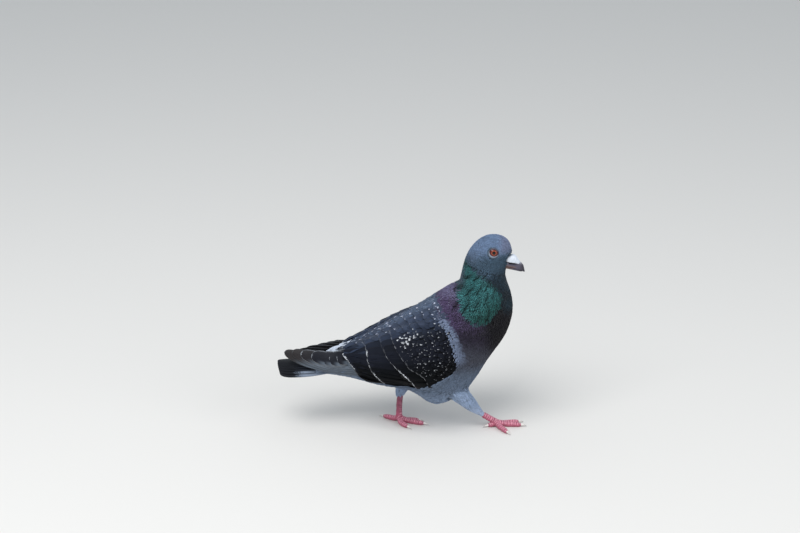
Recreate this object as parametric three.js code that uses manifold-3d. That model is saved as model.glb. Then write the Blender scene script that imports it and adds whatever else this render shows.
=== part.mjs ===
// A feral rock pigeon in mid stride, life size. Millimetres: +X is ahead, +Y the bird's left, +Z up.
import * as THREE from 'three';
import { mergeVertices } from 'three/addons/utils/BufferGeometryUtils.js';
import Module from 'manifold-3d';

const wasm = await Module();
wasm.setup();

const V = (x, y, z) => new THREE.Vector3(x, y, z);
const { lerp, smoothstep, degToRad: rad } = THREE.MathUtils;

// ---- driving dimensions ---------------------------------------------------------------------
const gap = 0.3; // clear space where two pieces meet
const bodySides = 28; // facets round the body
const tailRounding = 5; // how far the outer tail feathers stop short of the middle ones

const headTurn = rad(-7); // the head looks a little to the right
const headAxisX = 84; // the upright line it turns about
const headTurnLow = 118; // heights between which the neck takes up the turn
const headTurnHigh = 166;

const eyeRadius = 6.2;
const eyePlace = V(92.3, 8.2, 187.9);

const toeRadius = 2.55;
const clawLength = 6.2;
const clawRadius = 1.25;
const clawTip = 0.32;

// The body's outline from tail tip to crown. Each station is one flat cut through the bird: where it
// meets the line of the back, where it meets the line of the belly, breast and throat, its half width
// across, how square its corners are (1 is an ellipse, near 0 a slab), and how much it narrows
// towards the front or belly.
const stations = [
  { name: 'tail tip', back: [-124.5, 60.6], front: [-124.5, 58.7], half: 24, square: 0.3, narrow: 0 },
  { name: 'tail', back: [-107, 63], front: [-107, 59], half: 21.5, square: 0.38, narrow: 0 },
  { name: 'tail coverts', back: [-91, 67.5], front: [-91, 58.4], half: 17.5, square: 0.75, narrow: 0 },
  { name: 'tail root', back: [-74, 77], front: [-73, 56.5], half: 15.5, square: 1, narrow: 0 },
  { name: 'rump', back: [-53, 88], front: [-50, 52.5], half: 21, square: 1, narrow: 0.07 },
  { name: 'loin', back: [-27, 101.5], front: [-20, 45], half: 33, square: 1, narrow: 0.07 },
  { name: 'mid back', back: [0, 118], front: [11, 39.5], half: 40, square: 1, narrow: 0.07 },
  { name: 'belly', back: [22, 131.5], front: [36, 23.5], half: 43, square: 1, narrow: 0.07 },
  { name: 'shoulder', back: [40, 143.5], front: [66, 38.5], half: 41.5, square: 1, narrow: 0.07 },
  { name: 'breast', back: [52, 151], front: [90, 75], half: 37, square: 1, narrow: 0.07 },
  { name: 'neck base', back: [58.3, 154], front: [107, 101], half: 31.5, square: 1, narrow: 0.07 },
  { name: 'crop', back: [59.8, 158.5], front: [113.2, 124.5], half: 26.5, square: 1, narrow: 0.07 },
  { name: 'neck', back: [61, 164.5], front: [111, 143], half: 22, square: 1, narrow: 0.07 },
  { name: 'throat', back: [62.6, 172], front: [106.3, 157], half: 17.6, square: 1, narrow: 0.1 },
  { name: 'chin', back: [64.8, 180], front: [105, 166.5], half: 14.9, square: 1, narrow: 0.16 },
  { name: 'cheek', back: [68.3, 187.4], front: [108.6, 176], half: 14, square: 1, narrow: 0.28 },
  { name: 'eye', back: [74.5, 194.8], front: [111.6, 187], half: 13.1, square: 1, narrow: 0.25 },
  { name: 'forehead', back: [82.8, 200.3], front: [107.6, 197.2], half: 9.6, square: 1, narrow: 0.12 },
  { name: 'crown edge', back: [88, 202.1], front: [102.3, 201], half: 5.4, square: 1, narrow: 0.05 },
  { name: 'crown', back: [95, 203], front: [95, 203], half: 0, square: 1, narrow: 0 },
];
const stationAt = Object.fromEntries(stations.map((station, index) => [station.name, index]));
const crown = stationAt.crown;

// Where the body is parted, as places along the stations.
const tailCut = stationAt['tail root'];
const neckCut = stationAt['neck base'] + 0.35;
const headCut = stationAt.chin - 0.1;

// Each wing lies on the flank, from a place behind to a place ahead. Its lower edge keeps to a height
// above the floor, and its upper edge to an angle round the body (0 level, 90 the middle of the back).
const wing = {
  front: stationAt.shoulder + 0.2,
  rearTop: stationAt.rump - 0.2,
  rearLow: stationAt.rump + 0.5,
  topFront: 45,
  topRear: 79,
  lowRear: 58.5,
  lowMiddle: 53,
  lowFront: 82,
  elbow: 0.6, // share of the way forward where the lower edge starts to climb
  lift: 0.8, // clear space between wing and flank
  rim: 2, // thickness at the edges
  crown: 5, // extra thickness in the middle
};
const tips = { right: V(-117, -11.5, 79.2), left: V(-112.5, 7.5, 77) };
const tipDepth = 6.5; // of the blunt end of the folded primaries
const tipThickness = 1.1;

// Legs: the right one is stretched ahead, the left one carries the bird.
const legs = {
  right: {
    thigh: [
      { at: V(44, -17, 60), r: 14.5 },
      { at: V(57, -15, 43), r: 11 },
      { at: V(66.5, -12.5, 32.3), r: 8.2 },
      { at: V(72, -11.5, 26.2), r: 7.2 },
      { at: V(77.8, -10, 20), r: 5 },
      { at: V(83, -9, 15), r: 3.2 },
    ],
    ankle: V(83.2, -8.9, 14.7),
    hub: V(97.5, -6, 4.6),
    toes: {
      inner: { heading: 16, reach: 25, radius: toeRadius },
      middle: { heading: -4, reach: 26.5, radius: toeRadius },
      outer: { heading: -61, reach: 23, radius: toeRadius },
      hind: { heading: 202, reach: 9, radius: toeRadius },
    },
  },
  left: {
    thigh: [
      { at: V(26, 19, 62), r: 17 },
      { at: V(12, 16, 48), r: 12.5 },
      { at: V(3, 12, 37), r: 7.6 },
      { at: V(0.3, 10, 30.5), r: 5.6 },
      { at: V(-0.6, 8.6, 25), r: 4 },
    ],
    ankle: V(-0.6, 8.5, 24.8),
    hub: V(-1, 5, 5),
    toes: {
      inner: { heading: -62, reach: 20, bend: 20, radius: toeRadius },
      middle: { heading: -20, reach: 27.5, radius: toeRadius },
      outer: { heading: -4, reach: 21, radius: toeRadius },
      hind: { heading: 148, reach: 19, radius: toeRadius },
    },
  },
};

// Bill, in its own frame: x runs from the base to the tip, z is up, both before the bill is tipped.
const bill = {
  base: V(104.8, 0, 172.5),
  tip: rad(10), // how far it points below level
  halfWidth: 4.1,
  upper: { length: 19.8, depth: 8, hook: 3.1 },
  lower: { length: 17.4, depth: 2.7, hook: 2.2 },
};
const cere = { place: V(6.2, 2.7, 8), size: V(7, 3.3, 3.9), droop: rad(6) };

// ---- making solids --------------------------------------------------------------------------
// Welds a mapped geometry into one closed surface with its faces pointing out.
function weld(geometry) {
  geometry.deleteAttribute('normal');
  geometry.deleteAttribute('uv');
  const merged = mergeVertices(geometry, 1e-3);
  const position = merged.attributes.position;
  const corner = index => new THREE.Vector3().fromBufferAttribute(position, index);
  const kept = [];
  let volume = 0;
  for (let i = 0; i < merged.index.count; i += 3) {
    const [a, b, c] = [0, 1, 2].map(step => merged.index.getX(i + step));
    if (a === b || b === c || c === a) continue;
    kept.push(a, b, c);
    volume += corner(a).dot(corner(b).cross(corner(c)));
  }
  if (volume < 0) kept.reverse();
  merged.setIndex(kept);
  return merged;
}

function mapVertices(geometry, place) {
  const position = geometry.attributes.position;
  for (let i = 0; i < position.count; i++) {
    const p = place(new THREE.Vector3().fromBufferAttribute(position, i));
    position.setXYZ(i, p.x, p.y, p.z);
  }
  return weld(geometry);
}

// A closed tube of rings: place(along 0..1, angle, out 0..1) gives the surface.
function loft(sides, rings, place) {
  return mapVertices(new THREE.CylinderGeometry(1, 1, 1, sides, rings), p =>
    place(p.y + 0.5, Math.atan2(p.z, p.x), Math.hypot(p.x, p.z)));
}

// A closed curved plate: place(along 0..1, across 0..1, outer side or not) gives the surface.
function plate(along, across, place) {
  return mapVertices(new THREE.BoxGeometry(1, 1, 1, along, across, 1), p =>
    place(p.x + 0.5, p.y + 0.5, p.z > 0));
}

function toSolid(geometry) {
  return new wasm.Manifold(new wasm.Mesh({
    numProp: 3,
    vertProperties: new Float32Array(geometry.attributes.position.array),
    triVerts: new Uint32Array(geometry.index.array),
  }));
}

function toGeometry(solid) {
  const mesh = solid.getMesh();
  const geometry = new THREE.BufferGeometry();
  geometry.setAttribute('position', new THREE.BufferAttribute(mesh.vertProperties, 3));
  geometry.setIndex(new THREE.BufferAttribute(mesh.triVerts, 1));
  return geometry;
}

const cut = (geometry, ...tools) => toGeometry(
  tools.reduce((solid, tool) => solid.subtract(toSolid(tool)), toSolid(geometry)));
const join = geometries => toGeometry(
  geometries.map(toSolid).reduce((whole, solid) => whole.add(solid)));

// ---- body -----------------------------------------------------------------------------------
const backLine = new THREE.CatmullRomCurve3(stations.map(s => V(s.back[0], s.half, s.back[1])));
const frontLine = new THREE.CatmullRomCurve3(stations.map(s => V(s.front[0], s.square, s.front[1])));
const narrowing = new THREE.CatmullRomCurve3(stations.map(s => V(s.narrow, 0, 0)));

function section(place) {
  const t = place / crown;
  const back = backLine.getPoint(t);
  const front = frontLine.getPoint(t);
  const up = V(back.x - front.x, 0, back.z - front.z);
  const depth = up.length() / 2;
  return {
    centre: V((back.x + front.x) / 2, 0, (back.z + front.z) / 2),
    up: depth > 0 ? up.normalize() : V(0, 0, 1),
    half: back.y,
    depth,
    square: front.y,
    narrow: narrowing.getPoint(t).x,
  };
}

// Turns a point of the head, and what of the neck follows it, about the upright axis.
function turned(p) {
  const angle = headTurn * smoothstep(p.z, headTurnLow, headTurnHigh) * smoothstep(p.x, 20, 60);
  return p.sub(V(headAxisX, 0, 0)).applyAxisAngle(V(0, 0, 1), angle).add(V(headAxisX, 0, 0));
}

const power = (value, exponent) => Math.sign(value) * Math.abs(value) ** exponent;

// A point of the body: place along the stations, angle round the section, and how far outside it.
function bodyPoint(place, angle, swell = 0, out = 1) {
  const s = section(place);
  const side = power(Math.cos(angle), s.square) * out;
  const rise = power(Math.sin(angle), s.square) * out;
  const across = side * (s.half + swell) * (1 + s.narrow * rise);
  const point = s.centre.clone().addScaledVector(s.up, rise * (s.depth + swell));
  const rounding = tailRounding * side * side * smoothstep(-point.x, 95, 125);
  return turned(point.add(V(rounding, across, 0)));
}

// The stretch of body between two places. A parted end steps back from its neighbour by half a gap.
function bodyPiece(from, to, rings, { partedFrom = true, partedTo = true, swell = 0 } = {}) {
  return loft(bodySides, rings, (along, angle, out) => {
    const place = lerp(from, to, along);
    const point = bodyPoint(place, angle, swell, out);
    const { up } = section(Math.min(place, crown - 1));
    const ahead = V(up.z, 0, -up.x);
    if (along === 0 && partedFrom) point.addScaledVector(ahead, gap / 2);
    if (along === 1 && partedTo) point.addScaledVector(ahead, -gap / 2);
    return point;
  });
}

const trunkWhole = swell => bodyPiece(tailCut, neckCut, 20, { swell });
const headWhole = swell => bodyPiece(headCut, crown, 12, { partedTo: false, swell });

// ---- eyes and bill --------------------------------------------------------------------------
function eyeball(side, swell = 0) {
  const sides = 16;
  const geometry = weld(new THREE.SphereGeometry(eyeRadius + swell, sides, sides / 2).rotateX(rad(90)));
  const at = turned(V(eyePlace.x, side * eyePlace.y, eyePlace.z));
  return geometry.rotateX(rad(90)).translate(at.x, at.y, at.z);
}

function placeOnBill(p) {
  const tipped = p.applyAxisAngle(V(0, 1, 0), bill.tip);
  return turned(tipped.add(bill.base));
}

// Half of the bill, over or under the mouth line, rounded off to a drooping tip.
function mandible({ length, depth, hook }, upward, swell = 0) {
  const side = upward ? 1 : -1;
  return loft(14, 8, (along, angle, out) => {
    const taper = Math.sqrt(1 - 0.97 * along ** 2.4);
    const half = bill.halfWidth * taper * (1 - 0.45 * along) + swell;
    const height = depth * taper + swell;
    const rise = power(Math.max(Math.sin(angle), 0), 0.8) * out * height;
    const mouth = gap / 2 - swell;
    const droop = hook * along ** 2.6;
    return placeOnBill(V(along * length, Math.cos(angle) * out * half, side * (mouth + rise) - droop));
  });
}

function cereLobe(side, swell = 0) {
  const lobe = weld(new THREE.SphereGeometry(1, 14, 8).rotateZ(rad(90)));
  return mapVertices(lobe, p => {
    const blunt = 1 - 0.2 * p.x;
    const q = V(
      p.x * (cere.size.x + swell),
      p.y * (cere.size.y + swell) * blunt,
      p.z * (cere.size.z + swell) * blunt,
    );
    q.applyAxisAngle(V(0, 1, 0), cere.droop);
    return placeOnBill(q.add(V(cere.place.x, side * cere.place.y, cere.place.z)));
  });
}

// ---- wings ----------------------------------------------------------------------------------
// A point over the flank: share of the way from the wing's rear to its front, share of the way up it.
function wingPoint(share, across, swell) {
  const place = lerp(lerp(wing.rearLow, wing.rearTop, across), wing.front, share);
  const height = share < wing.elbow
    ? lerp(wing.lowRear, wing.lowMiddle, smoothstep(share, 0, wing.elbow))
    : lerp(wing.lowMiddle, wing.lowFront, ((share - wing.elbow) / (1 - wing.elbow)) ** 2);
  const s = section(place);
  const low = Math.asin((height - s.centre.z) / (s.depth * s.up.z));
  const top = rad(lerp(wing.topRear, wing.topFront, share));
  return bodyPoint(place, lerp(low, top, across), swell);
}

const mirrored = (point, side) => V(point.x, side * point.y, point.z);

function wingShield(side) {
  return plate(16, 8, (along, across, outer) => {
    const middle = Math.sqrt(Math.max(Math.sin(Math.PI * along) * Math.sin(Math.PI * across), 0));
    const swell = wing.lift + (outer ? wing.rim * (1 - 0.4 * across) + wing.crown * middle : 0);
    return mirrored(wingPoint(along, across, swell), side);
  });
}

// The folded primaries run back from the shield's rear edge and close to a blunt point.
function primaries(side, tip) {
  return plate(10, 5, (along, across, outer) => {
    const root = wingPoint(0, across, wing.lift + (outer ? wing.rim * (1 - 0.4 * across) : 0));
    root.x -= 1.6 * gap; // the rear edge slants, so this leaves about one gap
    const end = V(tip.x + 3 * Math.abs(across - 0.5), Math.abs(tip.y), tip.z + tipDepth * (across - 0.5));
    end.y += outer ? tipThickness / 2 : -tipThickness / 2;
    const point = root.lerp(end, along);
    const swelling = Math.sin(Math.PI * along);
    point.add(V(0, swelling * (2 + 2.5 * Math.sin(Math.PI * across)), 2 * swelling * (1 - across)));
    return mirrored(point, side);
  });
}

// ---- legs and feet --------------------------------------------------------------------------
// A round limb through a few places, each with its own radius.
function limb(joints, sides, rings, keepAboveFloor = false) {
  const line = new THREE.CatmullRomCurve3(joints.map(joint => joint.at));
  const girth = new THREE.CatmullRomCurve3(joints.map(joint => V(joint.r, 0, 0)));
  return loft(sides, rings, (along, angle, out) => {
    const ahead = line.getTangent(along);
    const across = V(0, 1, 0).cross(ahead).lengthSq() > 0.05 ? V(0, 1, 0) : V(1, 0, 0);
    const up = ahead.clone().cross(across).normalize();
    const sideways = up.clone().cross(ahead).normalize();
    const r = girth.getPoint(along).x * out;
    const turn = angle + Math.PI / sides; // a flat, not an edge, lies underneath
    const point = line.getPoint(along);
    point.addScaledVector(sideways, r * Math.cos(turn)).addScaledVector(up, r * Math.sin(turn));
    if (keepAboveFloor) point.z = Math.max(point.z, 0);
    return point;
  });
}

const thigh = leg => cut(limb(leg.thigh, 16, 9), trunkWhole(gap));

// A toe sets off at its heading less its bend, and curves round until its end lies at its heading.
function toeJoints(leg, toe) {
  const { heading, reach, bend = 0 } = toe;
  const at = share => {
    const angle = rad(heading + bend * (share - 1));
    return V(leg.hub.x + reach * share * Math.cos(angle), leg.hub.y + reach * share * Math.sin(angle), 0);
  };
  const onFloor = toe.radius * 0.87; // the pads are pressed a little flat
  return [
    { at: leg.hub.clone(), r: toe.radius * 1.12 },
    { at: at(0.3).setZ(onFloor * 1.1), r: toe.radius * 1.05 },
    { at: at(0.62).setZ(onFloor), r: toe.radius },
    { at: at(1).setZ(onFloor * 0.9), r: toe.radius * 0.84 },
  ];
}

function foot(leg) {
  const shank = limb([
    { at: leg.ankle.clone().lerp(leg.hub, 0.03), r: 3.2 },
    { at: leg.ankle.clone().lerp(leg.hub, 0.5), r: 2.9 },
    { at: leg.hub.clone(), r: 3.3 },
  ], 10, 4, true);
  return join([shank, ...Object.values(leg.toes).map(toe => limb(toeJoints(leg, toe), 10, 6, true))]);
}

function claw(leg, toe) {
  const [, , knuckle, end] = toeJoints(leg, toe);
  const ahead = end.at.clone().sub(knuckle.at).normalize();
  const at = (out, rise) => end.at.clone()
    .addScaledVector(ahead, gap + out * clawLength)
    .add(V(0, 0, rise));
  return limb([
    { at: at(0, 0.25), r: clawRadius },
    { at: at(0.45, 0.2), r: clawRadius * 0.72 },
    { at: at(1, -1.5), r: clawTip },
  ], 7, 4, true);
}

// ---- the bird -------------------------------------------------------------------------------
const finishes = {
  slate: { color: 0x56657c, roughness: 0.8 },
  green: { color: 0x2f5d54, roughness: 0.55 },
  grey: { color: 0x6d7a8e, roughness: 0.8 },
  dark: { color: 0x2a2f3a, roughness: 0.75 },
  pale: { color: 0x8c9cb4, roughness: 0.8 },
  skin: { color: 0xb0566a, roughness: 0.6 },
  claw: { color: 0xcfc6b6, roughness: 0.5 },
  horn: { color: 0x4a4453, roughness: 0.4 },
  cere: { color: 0xe6ecf2, roughness: 0.7 },
  eye: { color: 0xa2401c, roughness: 0.1 },
};

const pigeon = new THREE.Group();

function add(name, geometry, finish) {
  const material = new THREE.MeshStandardMaterial({ metalness: 0, ...finishes[finish] });
  const mesh = new THREE.Mesh(geometry, material);
  mesh.name = name;
  pigeon.add(mesh);
}

add('tail', bodyPiece(0, tailCut, 8, { partedFrom: false }), 'dark');
add('trunk', trunkWhole(0), 'grey');
add('neck', bodyPiece(neckCut, headCut, 8), 'green');

const cereShell = join([cereLobe(1, gap), cereLobe(-1, gap)]);
add('cere', join([cereLobe(1), cereLobe(-1)]), 'cere');
add('head', cut(headWhole(0), eyeball(1, gap), eyeball(-1, gap), cereShell), 'slate');

const headShell = headWhole(gap);
const neckShell = bodyPiece(neckCut, headCut, 8, { swell: gap });
add('bill_upper', cut(mandible(bill.upper, true), headShell, neckShell, cereShell), 'horn');
add('bill_lower', cut(mandible(bill.lower, false), headShell, neckShell), 'horn');

for (const [name, side] of [['right', -1], ['left', 1]]) {
  const leg = legs[name];
  add(`eye_${name}`, eyeball(side), 'eye');
  add(`wing_${name}`, wingShield(side), 'dark');
  add(`primaries_${name}`, primaries(side, tips[name]), 'dark');
  add(`thigh_${name}`, thigh(leg), 'pale');
  add(`foot_${name}`, foot(leg), 'skin');
  for (const [toeName, toe] of Object.entries(leg.toes)) {
    add(`claw_${name}_${toeName}`, claw(leg, toe), 'claw');
  }
}

// The origin is under the middle of the bird, on the floor.
const box = new THREE.Box3().setFromObject(pigeon);
const middle = box.getCenter(new THREE.Vector3());
pigeon.position.set(-middle.x, -middle.y, -box.min.z);

export default pigeon;
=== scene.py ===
import math

import bmesh
import bpy
import numpy as np
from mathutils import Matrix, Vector
from mathutils.bvhtree import BVHTree


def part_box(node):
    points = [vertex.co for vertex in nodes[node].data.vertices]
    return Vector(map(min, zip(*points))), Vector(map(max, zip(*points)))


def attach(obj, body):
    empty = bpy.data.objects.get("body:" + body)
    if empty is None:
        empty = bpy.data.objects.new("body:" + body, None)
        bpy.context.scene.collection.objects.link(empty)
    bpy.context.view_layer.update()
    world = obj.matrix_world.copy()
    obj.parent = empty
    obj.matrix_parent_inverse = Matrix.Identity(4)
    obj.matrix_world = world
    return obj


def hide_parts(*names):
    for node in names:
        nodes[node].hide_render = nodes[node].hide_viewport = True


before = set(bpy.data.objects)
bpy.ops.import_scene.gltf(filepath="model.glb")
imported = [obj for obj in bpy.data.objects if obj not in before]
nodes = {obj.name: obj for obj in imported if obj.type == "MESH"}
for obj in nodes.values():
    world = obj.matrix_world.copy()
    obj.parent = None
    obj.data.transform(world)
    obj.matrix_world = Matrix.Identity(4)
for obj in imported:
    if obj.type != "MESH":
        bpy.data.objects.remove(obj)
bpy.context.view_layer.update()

# A feral rock pigeon, walking. Places and sizes are in millimetres, x ahead, y to its left, z up,
# and become metres only when a mesh is made.
mm = 0.001
sides = {"right": -1, "left": 1}
scene = bpy.context.scene
scene.view_settings.view_transform = "Standard"


# small helpers

def smooth(low, high, value):
    share = np.clip((value - low) / (high - low), 0, 1)
    return share * share * (3 - 2 * share)


def unit(vectors):
    return vectors / np.maximum(np.linalg.norm(vectors, axis=-1, keepdims=True), 1e-9)


def within(pair, share):  # from the first value of a pair to the second
    return pair[0] + (pair[1] - pair[0]) * share


def tint(red, green, blue):  # a colour as the eye reads it, 0 to 255, made linear
    value = np.array([red, green, blue]) / 255
    return np.where(value > 0.04045, ((value + 0.055) / 1.055) ** 2.4, value / 12.92)


def blended(first, second, share):  # share is one number, or one for each row of colours
    share = np.asarray(share)[..., None]
    return first * (1 - share) + second * share


def nodeBox(name):
    low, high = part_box(name)
    return np.array(low) / mm, np.array(high) / mm


def nodeMiddle(name):
    low, high = nodeBox(name)
    return (low + high) / 2


def nodePoints(name):
    return np.array([v.co for v in nodes[name].data.vertices]) / mm


def newObject(name, mesh):
    piece = bpy.data.objects.new(name, mesh)
    scene.collection.objects.link(piece)
    return piece


def shadeSmooth(mesh):
    mesh.polygons.foreach_set("use_smooth", np.ones(len(mesh.polygons), bool))
    mesh.update()


def meshFrom(name, bm):  # the bmesh is used up
    mesh = bpy.data.meshes.new(name)
    bm.to_mesh(mesh)
    bm.free()
    shadeSmooth(mesh)
    return mesh


def readVectors(items, name):
    values = np.empty(len(items) * 3, np.float32)
    items.foreach_get(name, values)
    return values.reshape(-1, 3).astype(float)


def vertexPlaces(mesh):
    return readVectors(mesh.vertices, "co") / mm


def vertexNormals(mesh):
    return readVectors(mesh.vertex_normals, "vector")


def moveVertices(mesh, places):
    mesh.vertices.foreach_set("co", (places * mm).astype(np.float32).ravel())
    mesh.update()


def setColours(mesh, name, colours):
    layer = mesh.attributes.new(name, "FLOAT_COLOR", "POINT")
    full = np.ones((len(colours), 4), np.float32)
    full[:, :3] = colours
    layer.data.foreach_set("color", full.ravel())


def setVectors(mesh, name, vectors):
    layer = mesh.attributes.new(name, "FLOAT_VECTOR", "POINT")
    layer.data.foreach_set("vector", np.asarray(vectors, np.float32).ravel())


def finishPiece(piece, material, replaced=()):
    piece.data.materials.append(material)
    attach(piece, "root")
    if replaced:
        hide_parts(*replaced)
    return piece


# camera, floor and light

cameraSettings = {
    "lens": 85,
    "distance": 1900,
    "elevation": 21.5,  # of the camera, seen from the bird
    "beside": (-3, 0, 100),  # the point of the bird it stands level with
    "pitch": 19.5,  # how far below level it looks
}
lightSettings = {
    "floor": (0.74, 0.72, 0.69),
    "floorHalf": 30,  # metres
    "sky": (0.86, 0.93, 1.0),
    "skyStrength": 0.62,
    "keyPlace": (-700, -1100, 1900),
    "keySize": 1500,
    "keyWatts": 38,
    "fillPlace": (1500, -900, 900),
    "fillSize": 1200,
    "fillWatts": 9,
}


def makeCamera():
    s = cameraSettings
    camera = bpy.data.objects.new("camera", bpy.data.cameras.new("camera"))
    scene.collection.objects.link(camera)
    rise = math.radians(s["elevation"])
    x, y, z = s["beside"]
    camera.location = Vector((x, y - s["distance"] * math.cos(rise), z + s["distance"] * math.sin(rise))) * mm
    camera.rotation_euler = (math.radians(90 - s["pitch"]), 0, 0)
    camera.data.lens = s["lens"]
    scene.camera = camera


def areaLight(name, place, size, watts):
    light = bpy.data.objects.new(name, bpy.data.lights.new(name, "AREA"))
    light.data.size = size * mm
    light.data.energy = watts
    light.location = Vector(place) * mm
    light.rotation_euler = (Vector((0, 0, 80)) * mm - light.location).to_track_quat("-Z", "Y").to_euler()
    scene.collection.objects.link(light)


def makeStage():
    s = lightSettings
    bm = bmesh.new()
    bmesh.ops.create_grid(bm, x_segments=1, y_segments=1, size=s["floorHalf"])
    floor = newObject("floor", meshFrom("floor", bm))
    material, _, shader = newMaterial("paleFloor")
    setInputs(shader, {"Base Color": (*s["floor"], 1), "Roughness": 0.9})
    floor.data.materials.append(material)
    world = bpy.data.worlds.new("studio")
    world.use_nodes = True
    setInputs(world.node_tree.nodes["Background"], {"Color": (*s["sky"], 1), "Strength": s["skyStrength"]})
    scene.world = world
    areaLight("key", s["keyPlace"], s["keySize"], s["keyWatts"])
    areaLight("fill", s["fillPlace"], s["fillSize"], s["fillWatts"])


# shader nodes

def newMaterial(name):
    material = bpy.data.materials.new(name)
    material.use_nodes = True
    tree = material.node_tree
    return material, tree, tree.nodes["Principled BSDF"]


def setInputs(node, inputs):
    for key, value in inputs.items():
        if isinstance(value, bpy.types.NodeSocket):
            node.id_data.links.new(value, node.inputs[key])
        else:
            node.inputs[key].default_value = value


def put(tree, kind, inputs=None, **settings):
    node = tree.nodes.new(kind)
    for key, value in settings.items():
        setattr(node, key, value)
    setInputs(node, inputs or {})
    return node


def sums(tree, operation, first, second=0.0, third=0.0):
    return put(tree, "ShaderNodeMath", {0: first, 1: second, 2: third}, operation=operation).outputs[0]


def times(tree, first, *others):
    for other in others:
        first = sums(tree, "MULTIPLY", first, other)
    return first


def ramped(tree, value, low, high, start=0.0, end=1.0):
    node = put(tree, "ShaderNodeMapRange", {"Value": value, "From Min": low, "From Max": high,
                                            "To Min": start, "To Max": end},
               interpolation_type="SMOOTHSTEP")
    return node.outputs[0]


def mixed(tree, share, *colours):
    first, second = [c if isinstance(c, bpy.types.NodeSocket) else (*c, 1) for c in colours]
    return put(tree, "ShaderNodeMix", {"Factor": share, 6: first, 7: second}, data_type="RGBA").outputs[2]


def scaled(tree, colour, share):
    return put(tree, "ShaderNodeVectorMath", {0: colour, "Scale": share}, operation="SCALE").outputs[0]


def noise(tree, scale, detail):
    place = put(tree, "ShaderNodeTexCoord").outputs["Object"]
    return put(tree, "ShaderNodeTexNoise", {"Vector": place, "Scale": scale, "Detail": detail}).outputs["Fac"]


def parted(tree, vector):
    return put(tree, "ShaderNodeSeparateXYZ", {0: vector}).outputs


def bumped(tree, height, strength):
    node = put(tree, "ShaderNodeBump", {"Height": height, "Distance": 0.0002, "Strength": strength})
    return node.outputs["Normal"]


def attribute(tree, name, output="Color"):
    return put(tree, "ShaderNodeAttribute", attribute_name=name).outputs[output]


def newGroup(name, inputs, outputs):
    group = bpy.data.node_groups.new(name, "ShaderNodeTree")
    for label, kind in inputs:
        group.interface.new_socket(label, in_out="INPUT", socket_type="NodeSocket" + kind)
    for label, kind in outputs:
        group.interface.new_socket(label, in_out="OUTPUT", socket_type="NodeSocket" + kind)
    return group, group.nodes.new("NodeGroupInput").outputs, group.nodes.new("NodeGroupOutput").inputs


def makeMottleGroup():  # uneven tone, coarse and fine, over any surface
    group, given, out = newGroup(
        "mottle", [("Colour", "Color"), ("Scale", "Float"), ("Amount", "Float")], [("Colour", "Color")])
    coarse = sums(group, "SUBTRACT", noise(group, given["Scale"], 4.0), 0.5)
    spread = sums(group, "MULTIPLY_ADD", coarse, given["Amount"], 1.0)
    group.links.new(scaled(group, given["Colour"], spread), out["Colour"])
    return group


def mottled(tree, colour, scale, amount):
    given = {"Colour": colour, "Scale": scale, "Amount": amount}
    return put(tree, "ShaderNodeGroup", given, node_tree=mottleGroup).outputs["Colour"]


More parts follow.
